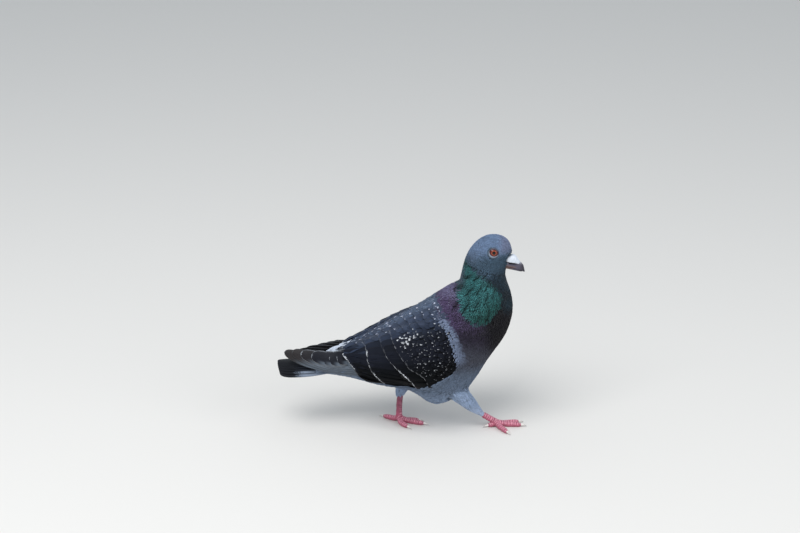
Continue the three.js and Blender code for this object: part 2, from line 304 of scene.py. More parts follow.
def makeVaneGroup():  # one feather's own markings, from where a point lies on its vane
    group, given, out = newGroup(
        "vane",
        [("Colour", "Color"), ("Marks", "Vector"), ("Tip Mark", "Vector"), ("Tip Colour", "Color"),
         ("Edge Colour", "Color"), ("Web Colour", "Color"), ("Barbs", "Float"), ("Root Shade", "Float")],
        [("Colour", "Color"), ("Height", "Float")])
    vane = parted(group, put(group, "ShaderNodeUVMap", uv_map="vane").outputs[0])
    marks = parted(group, given["Marks"])  # edge, chance, pale side
    tipMark = parted(group, given["Tip Mark"])  # strength, depth, reach
    along = vane["Y"]
    leaning = sums(group, "MULTIPLY_ADD", vane["X"], 2.0, -1.0)
    across = sums(group, "ABSOLUTE", leaning)
    slant = sums(group, "MULTIPLY_ADD", across, -0.22, along)
    rows = sums(group, "SINE", times(group, slant, given["Barbs"]))
    # painted shade: the covered root is darker, as the feathers over it shade it, and each feather a little
    # lighter or darker than the next
    shade = ramped(group, along, 0.1, 0.85, given["Root Shade"], 1.06)
    own = sums(group, "ADD", sums(group, "MULTIPLY_ADD", marks["Y"], 0.3, 0.85), times(group, rows, 0.07))
    colour = scaled(group, given["Colour"], times(group, shade, own))
    frayed = sums(group, "SUBTRACT", noise(group, 900.0, 1.0), 0.5)
    # a paler web on one side of the shaft
    web = ramped(group, times(group, leaning, marks["Z"]), 0.3, 0.6)
    colour = mixed(group, times(group, web, ramped(group, along, 0.9, 0.66)), colour, given["Web Colour"])
    # a mark at the tip, as deep and as wide as the feather's own numbers say
    fray = times(group, times(group, frayed, 2.4), sums(group, "MINIMUM", tipMark["Y"], 0.12))
    tip = put(group, "ShaderNodeMapRange", {
        "Value": sums(group, "ADD", along, fray),
        "From Min": sums(group, "SUBTRACT", 1.0, tipMark["Y"]),
        "From Max": sums(group, "MULTIPLY_ADD", tipMark["Y"], -0.6, 1.0)}).outputs[0]
    offset = sums(group, "MULTIPLY_ADD", marks["Y"], 1.0, -0.5)
    beside = sums(group, "ABSOLUTE", sums(group, "ADD", leaning, offset))
    wide = sums(group, "SUBTRACT", tipMark["Z"], sums(group, "MULTIPLY_ADD", frayed, 1.4, beside))
    tip = times(group, tip, ramped(group, wide, -0.1, 0.1), tipMark["X"])
    colour = mixed(group, tip, colour, given["Tip Colour"])
    # a rim round the free part
    rounded = sums(group, "MAXIMUM", across, sums(group, "MULTIPLY_ADD", along, 8.0, -7.0))
    rim = ramped(group, sums(group, "MULTIPLY_ADD", frayed, 0.12, rounded), 0.84, 0.96)
    rim = times(group, rim, marks["X"], ramped(group, along, 0.45, 0.9))
    colour = mixed(group, rim, colour, given["Edge Colour"])
    # the shaft, and the barbs that slant out from it
    shaft = ramped(group, across, 0.03, 0.1, 1.0, 0.0)
    colour = mixed(group, times(group, shaft, 0.15), colour, (0.01, 0.01, 0.012))
    height = sums(group, "MULTIPLY_ADD", rows, 0.25, times(group, shaft, 0.8))
    group.links.new(colour, out["Colour"])
    group.links.new(height, out["Height"])
    return group


def featherMaterial(name, roughness, metallic=0.0, tip=(0.62, 0.68, 0.74), edge=(0.25, 0.28, 0.33),
                    web=(0.11, 0.14, 0.18), barbs=110.0, rootShade=0.45, bump=0.25, sheen=0.03, gloss=0.2):
    material, tree, shader = newMaterial(name)
    vane = put(tree, "ShaderNodeGroup", {
        "Colour": attribute(tree, "plumage"), "Marks": attribute(tree, "marks", "Vector"),
        "Tip Mark": attribute(tree, "tipMark", "Vector"), "Tip Colour": (*tip, 1), "Edge Colour": (*edge, 1),
        "Web Colour": (*web, 1), "Barbs": barbs, "Root Shade": rootShade}, node_tree=vaneGroup).outputs
    setInputs(shader, {
        "Base Color": mottled(tree, vane["Colour"], 160, 0.5), "Normal": bumped(tree, vane["Height"], bump),
        "Roughness": roughness, "Metallic": metallic, "Sheen Weight": sheen, "Sheen Roughness": 0.5,
        "Specular IOR Level": gloss})
    return material


def surfaceMaterial(name, layer, roughness, scale, amount, bump=0.3, grain=1800.0):
    material, tree, shader = newMaterial(name)
    setInputs(shader, {
        "Base Color": mottled(tree, attribute(tree, layer), scale, amount),
        "Normal": bumped(tree, noise(tree, grain, 3.0), bump), "Roughness": roughness})
    return material


# the plumage's colours

tones = {
    "crown": tint(106, 127, 158),
    "forehead": tint(114, 124, 152),
    "nape": tint(86, 103, 126),
    "cheek": tint(63, 84, 102),
    "throat": tint(33, 48, 59),
    "green": tint(48, 98, 100),
    "greenLow": tint(30, 72, 68),
    "frontNeck": tint(26, 42, 51),
    "lilac": tint(98, 93, 122),
    "purple": tint(68, 57, 84),
    "wine": tint(38, 34, 47),
    # the breast: its own dark wine grey, darkened much further as painted shade on the front
    "breast": tint(15, 14, 19),
    # next, the lower breast: partly its own grey, partly painted shade under the front of the wing
    "breastLowShaded": tint(62, 64, 74),
    "paleBand": tint(103, 114, 136),
    "belly": tint(94, 107, 126),
    "vent": tint(108, 121, 140),
    "thigh": tint(148, 166, 194),
    "ankle": tint(166, 182, 208),
    "mantle": tint(74, 87, 108),
    "scapular": tint(49, 58, 76),
    "shield": tint(21, 24, 33),
    # the low part of the wing shield: its own near-black, darkened further as painted shade
    "shieldLowShaded": tint(5, 7, 10),
    "rump": tint(196, 204, 218),
    "tailCoverts": tint(60, 68, 82),
}
wingFront = ((50, 59, 67, 74, 81, 94, 114, 128, 145), (14, 28, 40, 51, 54, 51, 45.5, 37, 28))  # z, then x


def coreHeight(x):  # the line through the middle of the body
    return 66 + 0.197 * (x + 77)


def flankAngle(p):  # degrees up round the body from level
    return np.degrees(np.arctan2(p[:, 2] - coreHeight(p[:, 0]), np.abs(p[:, 1])))


def layered(points, base, layers):  # one tone over another, each as strong as its mask
    colour = np.tile(tones[base], (len(points), 1))
    for name, mask in layers:
        colour = blended(colour, tones[name], mask)
    return colour


def greenness(p):  # 1 well inside the green patch of the neck, 0 well outside
    x, z = p[:, 0], p[:, 2]
    off = np.hypot((x - 76) / 21.5, np.minimum(z - 148, 0) / 25.5)
    off += 0.03 * np.sin(z * 0.5) + 0.02 * np.sin(x * 0.9)
    return smooth(1.1, 0.92, off) * (1 - smooth(-4, 4, x - 98 + 0.45 * (z - 143)))


def bodyPlumage(p):
    x, aside, z = p[:, 0], np.abs(p[:, 1]), p[:, 2]
    back = smooth(28, 50, flankAngle(p)) * (1 - smooth(118, 150, z)) * (1 - smooth(50, 70, x))
    front = smooth(36, 48, x + 0.2 * (z - 100))
    neck = smooth(34, 44, x + 0.2 * (z - 110)) * smooth(108, 128, z)
    besideNeck = smooth(124, 138, z) * (1 - smooth(92, 102, x))
    aheadOfWing = x - np.interp(z, *wingFront) - 3
    band = smooth(7 + 0.1 * (110 - z), 1, aheadOfWing) * smooth(16, 26, aside) * smooth(76, 90, z)
    # the line along which the slate of the head gives way to the green
    line = 180 - 0.87 * (x - 62) - z
    green = greenness(p) * smooth(-4, 6, line) * (1 - 0.75 * smooth(150, 160, z) * (1 - smooth(56, 63, x)))
    head = (1 - smooth(-6, 5, line)) * smooth(138, 152, z + 0.3 * (x - 100))
    return layered(p, "belly", [
        ("vent", (1 - smooth(-45, -10, x)) * (1 - back)),
        ("thigh", 0.4 * smooth(54, 34, z) * smooth(0, 14, x)),
        ("mantle", back),
        ("rump", back * (1 - smooth(-56, -44, x))),
        ("tailCoverts", back * (1 - smooth(-92, -82, x))),
        # partly the lower breast's own grey, partly painted shade under the front of the wing
        ("breastLowShaded", front * smooth(56, 82, z + 0.2 * (x - 70))),
        ("wine", front * smooth(84, 108, z + 0.35 * (x - 70))),
        # the breast's own dark colour, darkened further as painted shade on the front
        ("breast", front * smooth(76, 92, x + 0.1 * (z - 100)) * smooth(76, 100, z + 0.3 * (x - 80))),
        ("purple", neck * (1 - smooth(68, 86, x))),
        ("lilac", neck * besideNeck * smooth(140, 148, z) * (1 - smooth(52, 60, x))),
        ("paleBand", band * (1 - smooth(124, 134, z))),
        ("frontNeck", smooth(122, 136, z) * smooth(91, 101, x + 0.3 * (z - 143)) * smooth(-6, 8, line)),
        ("green", green),
        ("greenLow", green * (1 - smooth(122, 150, z + 0.4 * (80 - x)))),
        ("throat", head),
        ("cheek", head * smooth(158, 174, z - 0.25 * (x - 90))),
        ("nape", head * smooth(172, 186, z) * (1 - smooth(66, 82, x))),
        ("crown", head * smooth(180, 192, z - 0.3 * np.maximum(x - 94, 0))),
        ("forehead", head * smooth(184, 192, z) * smooth(92, 100, x)),
    ])


def wingPlumage(p):
    angle = flankAngle(p)
    # painted shade: the wing is darkest on its low side, which lies in shade; above, the shield, scapulars
    # and mantle have their own tones
    return layered(p, "shieldLowShaded", [
        ("shield", smooth(-14, 16, angle)),
        ("scapular", smooth(28, 55, angle)),
        ("mantle", smooth(62, 84, angle) * smooth(-30, 10, p[:, 0])),
    ])


def thighPlumage(p):
    z = p[:, 2]
    return layered(p, "thigh", [("belly", 0.6 * smooth(42, 58, z)), ("ankle", 1 - smooth(18, 28, z))])


# the outline and the skin

flesh = ["head", "neck", "trunk", "tail", "wing_right", "wing_left", "thigh_right", "thigh_left"]
skinSettings = {
    "crownLift": 1.6,
    "sockEnd": 32,  # height at which the left leg's feathers end
    "voxel": 1.3,
    "fuse": 0.3,  # how far each piece is swollen, so that neighbours join
    "smoothing": 10,
    "depth": {"head": 0.75, "neck": 1.35, "trunk": 1.8, "tail": 0.6, "wing": 2.5, "thigh": 1.0},
    "tailStart": -74,  # behind this the skin is drawn in, and the tail feathers carry on alone
    "eyeReach": 5.2,  # nearer to an eye's axis than this, the skin sinks
    "eyeSink": 3.5,
    "shankSink": 2.3,  # the left leg's skin lies inside the bare shank
    "tone": 0.6,  # painted shade: the skin's colour as a share of that of the feathers over it, so that the gaps between them read as shade
}


def fleshCopy(names):
    bm = bmesh.new()
    for name in names:
        bm.from_mesh(nodes[name].data)
    bmesh.ops.remove_doubles(bm, verts=bm.verts, dist=0.01 * mm)
    bmesh.ops.recalc_face_normals(bm, faces=bm.faces)
    for vert in bm.verts:  # a slightly fuller crown
        vert.co.z += skinSettings["crownLift"] * mm * float(smooth(184, 201, vert.co.z / mm))
    return bm


def remeshed(bm, name, voxel, swell, rounds):  # one even closed surface, smoothed that many times
    bm.normal_update()
    for vert in bm.verts:
        vert.co += vert.normal * swell * mm
    rough = meshFrom(name, bm)
    piece = newObject(name, rough)
    change = piece.modifiers.new("remesh", "REMESH")
    change.mode = "VOXEL"
    change.voxel_size = voxel * mm
    even = bpy.data.meshes.new_from_object(piece.evaluated_get(bpy.context.evaluated_depsgraph_get()))
    piece.modifiers.clear()
    piece.data = even
    bpy.data.meshes.remove(rough)
    bm = bmesh.new()
    bm.from_mesh(even)
    for _ in range(rounds):
        bmesh.ops.smooth_vert(bm, verts=bm.verts, factor=0.5, use_axis_x=True, use_axis_y=True,
                              use_axis_z=True)
    bm.to_mesh(even)
    bm.free()
    moveVertices(even, vertexPlaces(even) - vertexNormals(even) * swell)
    shadeSmooth(even)
    return piece


def partTree(name):
    mesh = nodes[name].data
    return BVHTree.FromPolygons([v.co / mm for v in mesh.vertices], [p.vertices for p in mesh.polygons])


def nearestParts(points, names):  # for each point, the place in names of the piece it lies on
    trees = [partTrees[name] for name in names]
    found = []
    for point in points:
        gaps = [tree.find_nearest(point)[3] for tree in trees]
        found.append(gaps.index(min(gaps)))
    return np.array(found)


def kindOf(name):
    return name.split("_")[0]


def coatDepth(parts, points):
    depth = np.array([skinSettings["depth"][kindOf(flesh[part])] for part in parts])
    ankle = smooth(14, 30, points[:, 2])
    leg = np.array([kindOf(flesh[part]) == "thigh" for part in parts])
    return np.where(leg, depth * (0.45 + 0.55 * ankle), depth)


def makeOutline():
    names = flesh + ["primaries_right", "primaries_left", "foot_right", "foot_left"]
    s = skinSettings
    piece = remeshed(fleshCopy(names), "outline", s["voxel"], s["fuse"], 8)
    mesh = piece.data
    places = vertexPlaces(mesh)
    corners = np.array([(tuple(p.vertices) * 2)[:4] for p in mesh.polygons])
    normals = unit(vertexNormals(mesh)[corners].mean(1))
    areas = np.array([p.area for p in mesh.polygons]) / mm ** 2
    tree = BVHTree.FromPolygons([tuple(p) for p in places], [tuple(p.vertices) for p in mesh.polygons])
    bpy.data.objects.remove(piece)
    return {"places": places, "corners": corners, "centres": places[corners].mean(1),
            "normals": normals, "areas": areas, "tree": tree}


def onOutline(points):
    found = [outline["tree"].find_nearest(p) for p in points]
    return np.array([f[0] for f in found]), outline["normals"][[f[2] for f in found]]


def makeSkin():
    s = skinSettings
    piece = remeshed(fleshCopy(flesh), "skin", s["voxel"], s["fuse"], s["smoothing"])
    mesh = piece.data
    places = vertexPlaces(mesh)
    parts = nearestParts(places, flesh)
    places -= vertexNormals(mesh) * coatDepth(parts, places)[:, None]
    places[:, 1] *= 1 - 0.5 * smooth(-64, -80, places[:, 0])
    for eye in eyes.values():  # the skin sinks behind the eyes
        offset = places - eye["centre"]
        away = offset - (offset @ eye["axis"])[:, None] * eye["axis"]
        near = 1 - smooth(s["eyeReach"], s["eyeReach"] + 1.1, np.linalg.norm(away, axis=1))
        places -= eye["axis"] * (s["eyeSink"] * near * (offset @ eye["axis"] > 0))[:, None]
    leftLeg = (parts == flesh.index("thigh_left")) * smooth(s["sockEnd"] + 3, s["sockEnd"], places[:, 2])
    places -= vertexNormals(mesh) * (s["shankSink"] * leftLeg)[:, None]
    behind = places[:, 0] < s["tailStart"]
    places[behind, 0] = s["tailStart"] + 0.2 * (places[behind, 0] - s["tailStart"])
    moveVertices(mesh, places)
    kinds = np.array([kindOf(name) for name in flesh])[parts]
    colour = bodyPlumage(places)
    for kind, plumage in (("wing", wingPlumage), ("thigh", thighPlumage)):
        colour[kinds == kind] = plumage(places[kinds == kind])
    setColours(mesh, "plumage", colour)
    material, tree, shader = newMaterial("skinAndDown")
    # painted shade: the skin takes the plumage's colours darkened, standing for the shade between the
    # feathers
    darker = scaled(tree, attribute(tree, "plumage"), s["tone"])
    setInputs(shader, {"Base Color": mottled(tree, darker, 600, 1.2), "Roughness": 0.9})
    return finishPiece(piece, material, flesh)


# the lie of the coat: at each place (x, distance from the middle, z) the way the feathers point

lie = [
    # place, pointing, reach
    ((104, 3, 190), (-0.55, 0.1, 0.8), 8),
    ((99, 2, 199), (-1, 0.1, 0.25), 8),
    ((86, 4, 202), (-1, 0.1, -0.2), 9),
    ((72, 4, 192), (-0.6, 0, -0.85), 9),
    ((100, 8, 180), (-1, 0.25, 0.05), 6),
    ((100, 7, 188), (-0.9, 0.2, 0.35), 6),
    ((84, 13, 180), (-0.75, 0, -0.65), 10),
    ((82, 12, 192), (-1, 0.1, -0.3), 8),
    ((97, 4, 168), (-0.75, 0.2, -0.65), 7),
    ((62, 6, 176), (-0.25, 0.05, -1), 12),
    ((104, 4, 155), (0.05, 0.1, -1), 14),
    ((110, 6, 130), (0, 0.1, -1), 16),
    ((82, 20, 145), (-0.25, 0.1, -1), 16),
    ((58, 6, 160), (-0.45, 0.2, -0.9), 8),
    ((46, 10, 146), (-0.8, 0.25, -0.5), 10),
    ((104, 12, 98), (-0.35, 0.1, -0.95), 16),
    ((80, 32, 112), (-0.4, 0.15, -0.9), 16),
    ((60, 36, 95), (-0.65, 0.05, -0.75), 14),
    ((80, 14, 56), (-0.85, 0.05, -0.55), 16),
    ((40, 14, 26), (-1, 0, 0.05), 22),
    ((30, 35, 45), (-1, 0, -0.15), 18),
    ((-20, 12, 46), (-1, 0, 0.22), 22),
    ((-80, 8, 57), (-1, 0, 0.04), 25),
    ((20, 44, 85), (-1, 0, -0.16), 24),
    ((-25, 36, 72), (-1, -0.1, -0.02), 20),
    ((-50, 24, 72), (-1, -0.2, 0.08), 18),
    ((10, 25, 112), (-0.96, 0, -0.3), 22),
    ((0, 5, 118), (-0.93, 0.02, -0.38), 22),
    ((-50, 8, 88), (-0.95, 0, -0.3), 22),
    ((-90, 8, 68), (-1, 0, -0.1), 22),
]
liePlaces = np.array([entry[0] for entry in lie], float)
lieWays = unit(np.array([entry[1] for entry in lie], float))
lieReach = np.array([entry[2] for entry in lie], float)
lieSettings = {
    "neckFan": np.array([99, 8, 183]),  # below the ear: down the neck the feathers fan out from here
    "eyeParting": (4.5, 8.5),  # they part round an eye fully at the first distance, no more at the second
    "partingStrength": 1.15,
    "legReach": 9,  # how far off the direction of a leg's line is felt
}


def nearnessTo(places, points, reach):  # how much each place counts at each point
    gaps = np.linalg.norm(points[:, None] - places[None], axis=2)
    return np.exp(-0.5 * (gaps / reach) ** 2) + 1e-9 / (1 + gaps)


def bodyLie(points):
    s = lieSettings
    folded = points.copy()
    folded[:, 1] = np.abs(points[:, 1])
    ways = unit(nearnessTo(liePlaces, folded, lieReach) @ lieWays)
    fan = unit(folded - s["neckFan"])
    z = points[:, 2]
    share = smooth(112, 132, z) * (1 - smooth(160, 174, z)) * smooth(40, 54, points[:, 0])
    ways = unit(ways + share[:, None] * (fan - ways))
    ways[:, 1] *= np.sign(points[:, 1])
    for eye in eyes.values():
        towards = eye["rim"] - points
        gap = np.linalg.norm(towards, axis=1, keepdims=True)
        towards /= np.maximum(gap, 1e-6)
        facing = np.maximum((ways * towards).sum(1, keepdims=True), 0)
        ways = unit(ways - towards * facing * (1 - smooth(*s["eyeParting"], gap)) * s["partingStrength"])
    return ways


def legLie(side):
    line = legLines[side]
    ways = unit(np.gradient(line, axis=0))
    return lambda points: unit(nearnessTo(line, points, lieSettings["legReach"]) @ ways)


def layAlong(starts, lengths, stations, pointing, backwards=False):
    point, normal = onOutline(starts)
    points, normals = [point], [normal]
    step = (lengths / (stations - 1))[:, None] * (-1 if backwards else 1)
    for _ in range(stations - 1):
        way = pointing(point)
        way = unit(way - normal * (way * normal).sum(1, keepdims=True))
        point, normal = onOutline(point + way * step)
        points.append(point)
        normals.append(normal)
    turn = -1 if backwards else 1
    return np.stack(points[::turn], 1), np.stack(normals[::turn], 1)


# feathers

def flatBall(sideCount, ringCount, crowding=1.0):
    # a ball seen as a vane: how far along it each vertex lies, how far across, and how far up
    bm = bmesh.new()
    bmesh.ops.create_uvsphere(bm, u_segments=sideCount, v_segments=ringCount + 1, radius=1)
    corners = np.array([v.co for v in bm.verts])
    faces = [[v.index for v in face.verts] for face in bm.faces]
    faces = sorted(face[face.index(min(face)):] + face[:face.index(min(face))] for face in faces)
    bm.free()
    polar = np.arccos(np.clip(corners[:, 2], -1, 1))
    girth = np.maximum(np.sin(polar), 1e-4)
    inside = np.sin(polar) > 1e-3
    along = 1 - (1 - polar / math.pi) ** crowding
    across = np.where(inside, corners[:, 0] / girth, 0)
    up = np.where(inside, corners[:, 1] / girth, 0)
    return {"along": along, "across": across, "up": up, "faces": faces}


def outlineOf(along, rootPower, tipPower, tipRound):
    width = np.clip(along, 0, 1) ** rootPower * np.clip(1 - along ** tipPower, 0, 1) ** tipRound
    probe = np.linspace(0, 1, 101)
    return width / (probe ** rootPower * (1 - probe ** tipPower) ** tipRound).max()


def between(stations, along):  # stations (n, s, 3) read at along (v,) gives (n, v, 3)
    place = along * (stations.shape[1] - 1)
    low = np.minimum(place.astype(int), stations.shape[1] - 2)
    share = (place - low)[None, :, None]
    return stations[:, low] * (1 - share) + stations[:, low + 1] * share


def headingAt(stations, along, step):
    ahead = between(stations, np.minimum(along + step, 1))
    return unit(ahead - between(stations, np.maximum(along - step, 0)))


def arrayMesh(name, places, form, count):
    mesh = bpy.data.meshes.new(name)
    size = len(form["along"])
    counts = np.array([len(face) for face in form["faces"]])
    flat = np.concatenate([np.array(face) for face in form["faces"]])
    loops = (flat[None] + np.arange(count)[:, None] * size).ravel()
    totals = np.tile(counts, count)
    starts = np.concatenate([[0], np.cumsum(totals)[:-1]])
    mesh.vertices.add(count * size)
    mesh.loops.add(len(loops))
    mesh.polygons.add(len(totals))
    mesh.vertices.foreach_set("co", (places.reshape(-1) * mm).astype(np.float32))
    mesh.loops.foreach_set("vertex_index", loops.astype(np.int32))
    mesh.polygons.foreach_set("loop_start", starts.astype(np.int32))
    mesh.update(calc_edges=True)
    mesh.validate()
    shadeSmooth(mesh)
    return mesh, loops


def setMap(mesh, name, places, loops):
    layer = mesh.uv_layers.new(name=name, do_init=False)
    layer.data.foreach_set("uv", places[loops].astype(np.float32).ravel())


def feathersFrom(name, stations, normals, look, form, colours, marks, tipMarks, bakePlaces, patch):
    # look gives each feather's width, the heights low and high of its root and tip over the outline,
    # its cup and roll, and where it has one its slant; the rest of look holds for them all
    count, size = len(stations), len(form["along"])
    along, across, up = form["along"], form["across"], form["up"]
    middle = between(stations, along)
    ahead = headingAt(stations, along, 0.04)
    outward = unit(between(normals, along))
    outward = unit(outward - ahead * (outward * ahead).sum(2, keepdims=True))
    beside = np.cross(ahead, outward)
    shape = outlineOf(along, *look["shape"])
    half = look["width"][:, None] / 2 * shape[None]
    ragged = 1 + look.get("ragged", 0.0) * look["chance"].normal(size=(count, size))
    low, high, cup, roll = (look[key][:, None] for key in ("low", "high", "cup", "roll"))
    rise = low + (high - low) * along[None]
    rise = rise - cup * across[None] ** 2 + roll * across[None] * shape[None]
    rise = rise + look["thick"] * up[None] * (0.3 + 0.7 * shape[None])
    places = middle + beside * (half * ragged * across[None])[..., None] + outward * rise[..., None]
    if "slant" in look:  # the tip is cut at an angle
        push = half * across[None] * look["slant"][:, None] * along[None] ** 3
        places += ahead * push[..., None]
    mesh, loops = arrayMesh(name, places, form, count)
    setColours(mesh, "plumage", np.repeat(colours, size, axis=0))
    setVectors(mesh, "marks", np.repeat(marks, size, axis=0))
    setVectors(mesh, "tipMark", np.repeat(tipMarks, size, axis=0))
    vane = np.stack([across * 0.5 + 0.5, along], 1)
    setMap(mesh, "vane", np.tile(vane, (count, 1)), loops)
    patches = np.repeat(bakePlaces, size, axis=0) + (np.tile(vane, (count, 1)) - 0.5) * patch
    setMap(mesh, "OFBake", patches, loops)
    return newObject(name, mesh)


# where a feather's patch lies for baking: how far along the bird and how far round it

def sleeve(points, line):
    line = np.array(line, float)
    starts, ends = line[:-1], line[1:]
    legs = ends - starts
    lengths = np.linalg.norm(legs, axis=1)
    travelled = np.concatenate([[0], np.cumsum(lengths)])
    offset = points[:, None] - starts[None]
    share = np.clip((offset * legs[None]).sum(2) / lengths[None] ** 2, 0, 1)
    away = offset - share[..., None] * legs[None]
    best = np.linalg.norm(away, axis=2).argmin(1)
    pick = np.arange(len(points))
    way = unit(legs[best])
    upward = np.cross(way, (0, 1, 0))
    off = away[pick, best]
    turn = np.arctan2(off[:, 1], (off * upward).sum(1)) / (2 * math.pi) + 0.5
    reach = (travelled[best] + share[pick, best] * lengths[best]) / travelled[-1]
    return np.stack([0.01 + 0.98 * turn, 0.01 + 0.98 * reach], 1)


bodyLine = [(-128, 0, 60), (-77, 0, 66), (-20, 0, 76), (35, 0, 86), (70, 0, 108), (82, 0, 135),
            (84, 0, 165), (86, 0, 186), (93, 0, 201)]


# small feathers, scattered over a part

coatSettings = {
    # spacing, length and width where the feathers are full-sized, how deep the root lies, the form,
    # and how unevenly toned the feathers are
    "head": {"spacing": 0.68, "length": 3.2, "width": 1.0, "depth": 0.5, "form": (4, 3), "uneven": 0.05},
    "neck": {"spacing": 1.2, "length": 6.0, "width": 2.5, "depth": 1.0, "form": (5, 4), "uneven": 0.28},
    "trunk": {"spacing": 2.2, "length": 9.5, "width": 4.4, "depth": 1.3, "form": (6, 4), "uneven": 0.05},
    "thigh": {"spacing": 1.4, "length": 6.2, "width": 2.0, "depth": 0.9, "form": (4, 4), "uneven": 0.05},
}
furrowSettings = {
    "round": 46,  # gaps in a full turn about the place that the neck feathers fan out from
    "half": 0.2,  # half the width of a gap, as a share of the way to the next
    "wave": 0.3,  # how often each gap closes again
    "bare": 0.75,  # deeper in a gap than this no feather is rooted
    "dark": 0.7,  # painted shade: how much darker the feathers grow towards a gap, as shade falls between the locks
}
coatShared = {
    "tries": 3.2,  # how many places are drawn for each one that can be kept
    "vary": 0.15,  # how much length and width differ from feather to feather
    "cup": 0.09,  # this and the thickness are shares of the width
    "thick": 0.04,
    "roll": 0.05,
    "lift": 0.12,  # how unevenly the tips stand off
    "strayTone": 0.9,  # from how far off a feather may take its colour
    "rumpLift": 2.6,
    # no small feather is rooted nearer than this to these parts, nor a feather of the trunk to the others
    "clear": {"cere": 0.4, "bill_upper": 0.4, "bill_lower": 0.4},
    "trunkClear": {"primaries_right": 2, "primaries_left": 2},
}


def scattered(chosen, spacingAt, seed):
    # places on the chosen faces of the outline, no two nearer than the spacing there
    chance = np.random.default_rng(seed)
    weights = outline["areas"][chosen] / spacingAt(outline["centres"][chosen]) ** 2
    total = int(weights.sum() * coatShared["tries"])
    picks = chance.choice(chosen, total, p=weights / weights.sum())
    corners = outline["places"][outline["corners"][picks]]
    u, v = chance.random((2, total, 1))
    points = (corners[:, 0] * (1 - u) + corners[:, 1] * u) * (1 - v) \
        + (corners[:, 3] * (1 - u) + corners[:, 2] * u) * v
    apart = spacingAt(points)
    cells = np.floor(points / apart.max()).astype(int).tolist()
    steps = (-1, 0, 1)
    grid, kept = {}, []
    for index in range(total):
        (i, j, k), point, limit = cells[index], points[index], apart[index] ** 2
        near = [q for a in steps for b in steps for c in steps for q in grid.get((i + a, j + b, k + c), ())]
        if near and ((np.array(near) - point) ** 2).sum(1).min() < limit:
            continue
        grid.setdefault((i, j, k), []).append(point)
        kept.append(index)
    return points[kept]


def clearOf(points, gaps):  # only the points that lie farther from each part than its gap
    far = [[partTrees[name].find_nearest(p)[3] > gap for name, gap in gaps.items()] for p in points]
    return points[np.all(far, axis=1)]


def furrow(points):  # 1 in a gap between the hanging locks of neck feathers, 0 on a lock
    s = furrowSettings
    offset = points - lieSettings["neckFan"]
    turn = np.arctan2(offset[:, 2], offset[:, 0]) * s["round"] / (2 * math.pi)
    lock = np.floor(turn)
    gap = np.exp(-((turn - lock - 0.5) / s["half"]) ** 2)
    run = np.hypot(offset[:, 0], offset[:, 2])
    streak = smooth(-0.3, 0.4, np.sin(run * s["wave"] + lock * 2.4))
    place = smooth(118, 130, points[:, 2]) * (1 - smooth(84, 98, points[:, 0])) * smooth(14, 20, run)
    return gap * streak * place


def fluffed(points):  # the white of the rump stands up between the wings
    along = smooth(-84, -66, points[:, 0]) * (1 - smooth(-64, -52, points[:, 0]))
    return coatShared["rumpLift"] * along * (1 - smooth(6, 11, np.abs(points[:, 1]))) * (points[:, 2] > 70)


def flecks(seen, chance):  # silvery tips along the ridge of the back and on the shoulder
    x, angle = seen[:, 0], flankAngle(seen)
    ridge = smooth(58, 72, angle) * smooth(-52, -40, x) * (1 - smooth(34, 46, x))
    shoulder = np.exp(-((x - 31) / 9) ** 2 - ((angle - 56) / 14) ** 2)
    rear = np.exp(-((x + 22) / 12) ** 2 - ((angle - 62) / 12) ** 2)
    share = np.maximum(np.maximum(0.8 * ridge, shoulder), rear)
    count = len(seen)
    strength = np.where(chance.random(count) < 0.1 + 0.72 * share, chance.uniform(0.35, 1, count), 0)
    strength = np.where((angle > 36) & (x < 46), strength, 0)
    return np.stack([strength, chance.uniform(0.06, 0.17, count), chance.uniform(0.15, 0.7, count)], 1)


def coatPiece(name, kind, faces, plumage, pointing, material, line, sizeAt, seed):
    s, shared = coatSettings[kind], coatShared
    roots = scattered(faces, lambda p: s["spacing"] * sizeAt(p), seed)
    roots = clearOf(roots, {**shared["clear"], **(shared["trunkClear"] if kind == "trunk" else {})})
    for eye in eyes.values():
        roots = roots[np.linalg.norm(roots - eye["rim"], axis=1) > eyeSettings["bareRadius"]]
    if kind == "neck":
        roots = roots[furrow(roots) < furrowSettings["bare"]]
    chance = np.random.default_rng(seed + 1)
    count = len(roots)
    size = sizeAt(roots)
    vary = (1 - shared["vary"], 1 + shared["vary"], count)
    stations, normals = layAlong(roots, s["length"] * size * chance.uniform(*vary), 4, pointing)
    seen = stations[:, 2] + chance.normal(0, shared["strayTone"], (count, 3))
    seen[:, 1] = np.where(seen[:, 1] * stations[:, 2, 1] < 0, 0, seen[:, 1])
    colours = plumage(seen) * chance.uniform(1 - s["uneven"], 1 + s["uneven"], (count, 1))
    if kind == "neck":
        # painted shade: feathers beside a gap between the locks are darkened
        colours = colours * (1 - furrowSettings["dark"] * furrow(stations[:, 2]))[:, None]
    marks = np.stack([np.zeros(count), chance.random(count), np.zeros(count)], 1)
    look = {
        "width": s["width"] * size * chance.uniform(*vary),
        "low": np.full(count, -s["depth"]) * (0.5 + 0.5 * size) + fluffed(roots),
        "high": chance.uniform(-shared["lift"], shared["lift"], count) * size + fluffed(roots),
        "cup": shared["cup"] * s["width"] * size,
        "roll": chance.normal(0, shared["roll"], count) * size,
        "thick": shared["thick"] * s["width"],
        "shape": (0.5, 3.2, 0.55),
        "ragged": 0.03,
        "chance": chance,
    }
    piece = feathersFrom(name, stations, normals, look, flatBall(*s["form"], crowding=1.25), colours, marks,
                         flecks(seen, chance), sleeve(roots, line), 0.003)
    print(name, count, "feathers", len(piece.data.polygons), "faces")
    return finishPiece(piece, material)


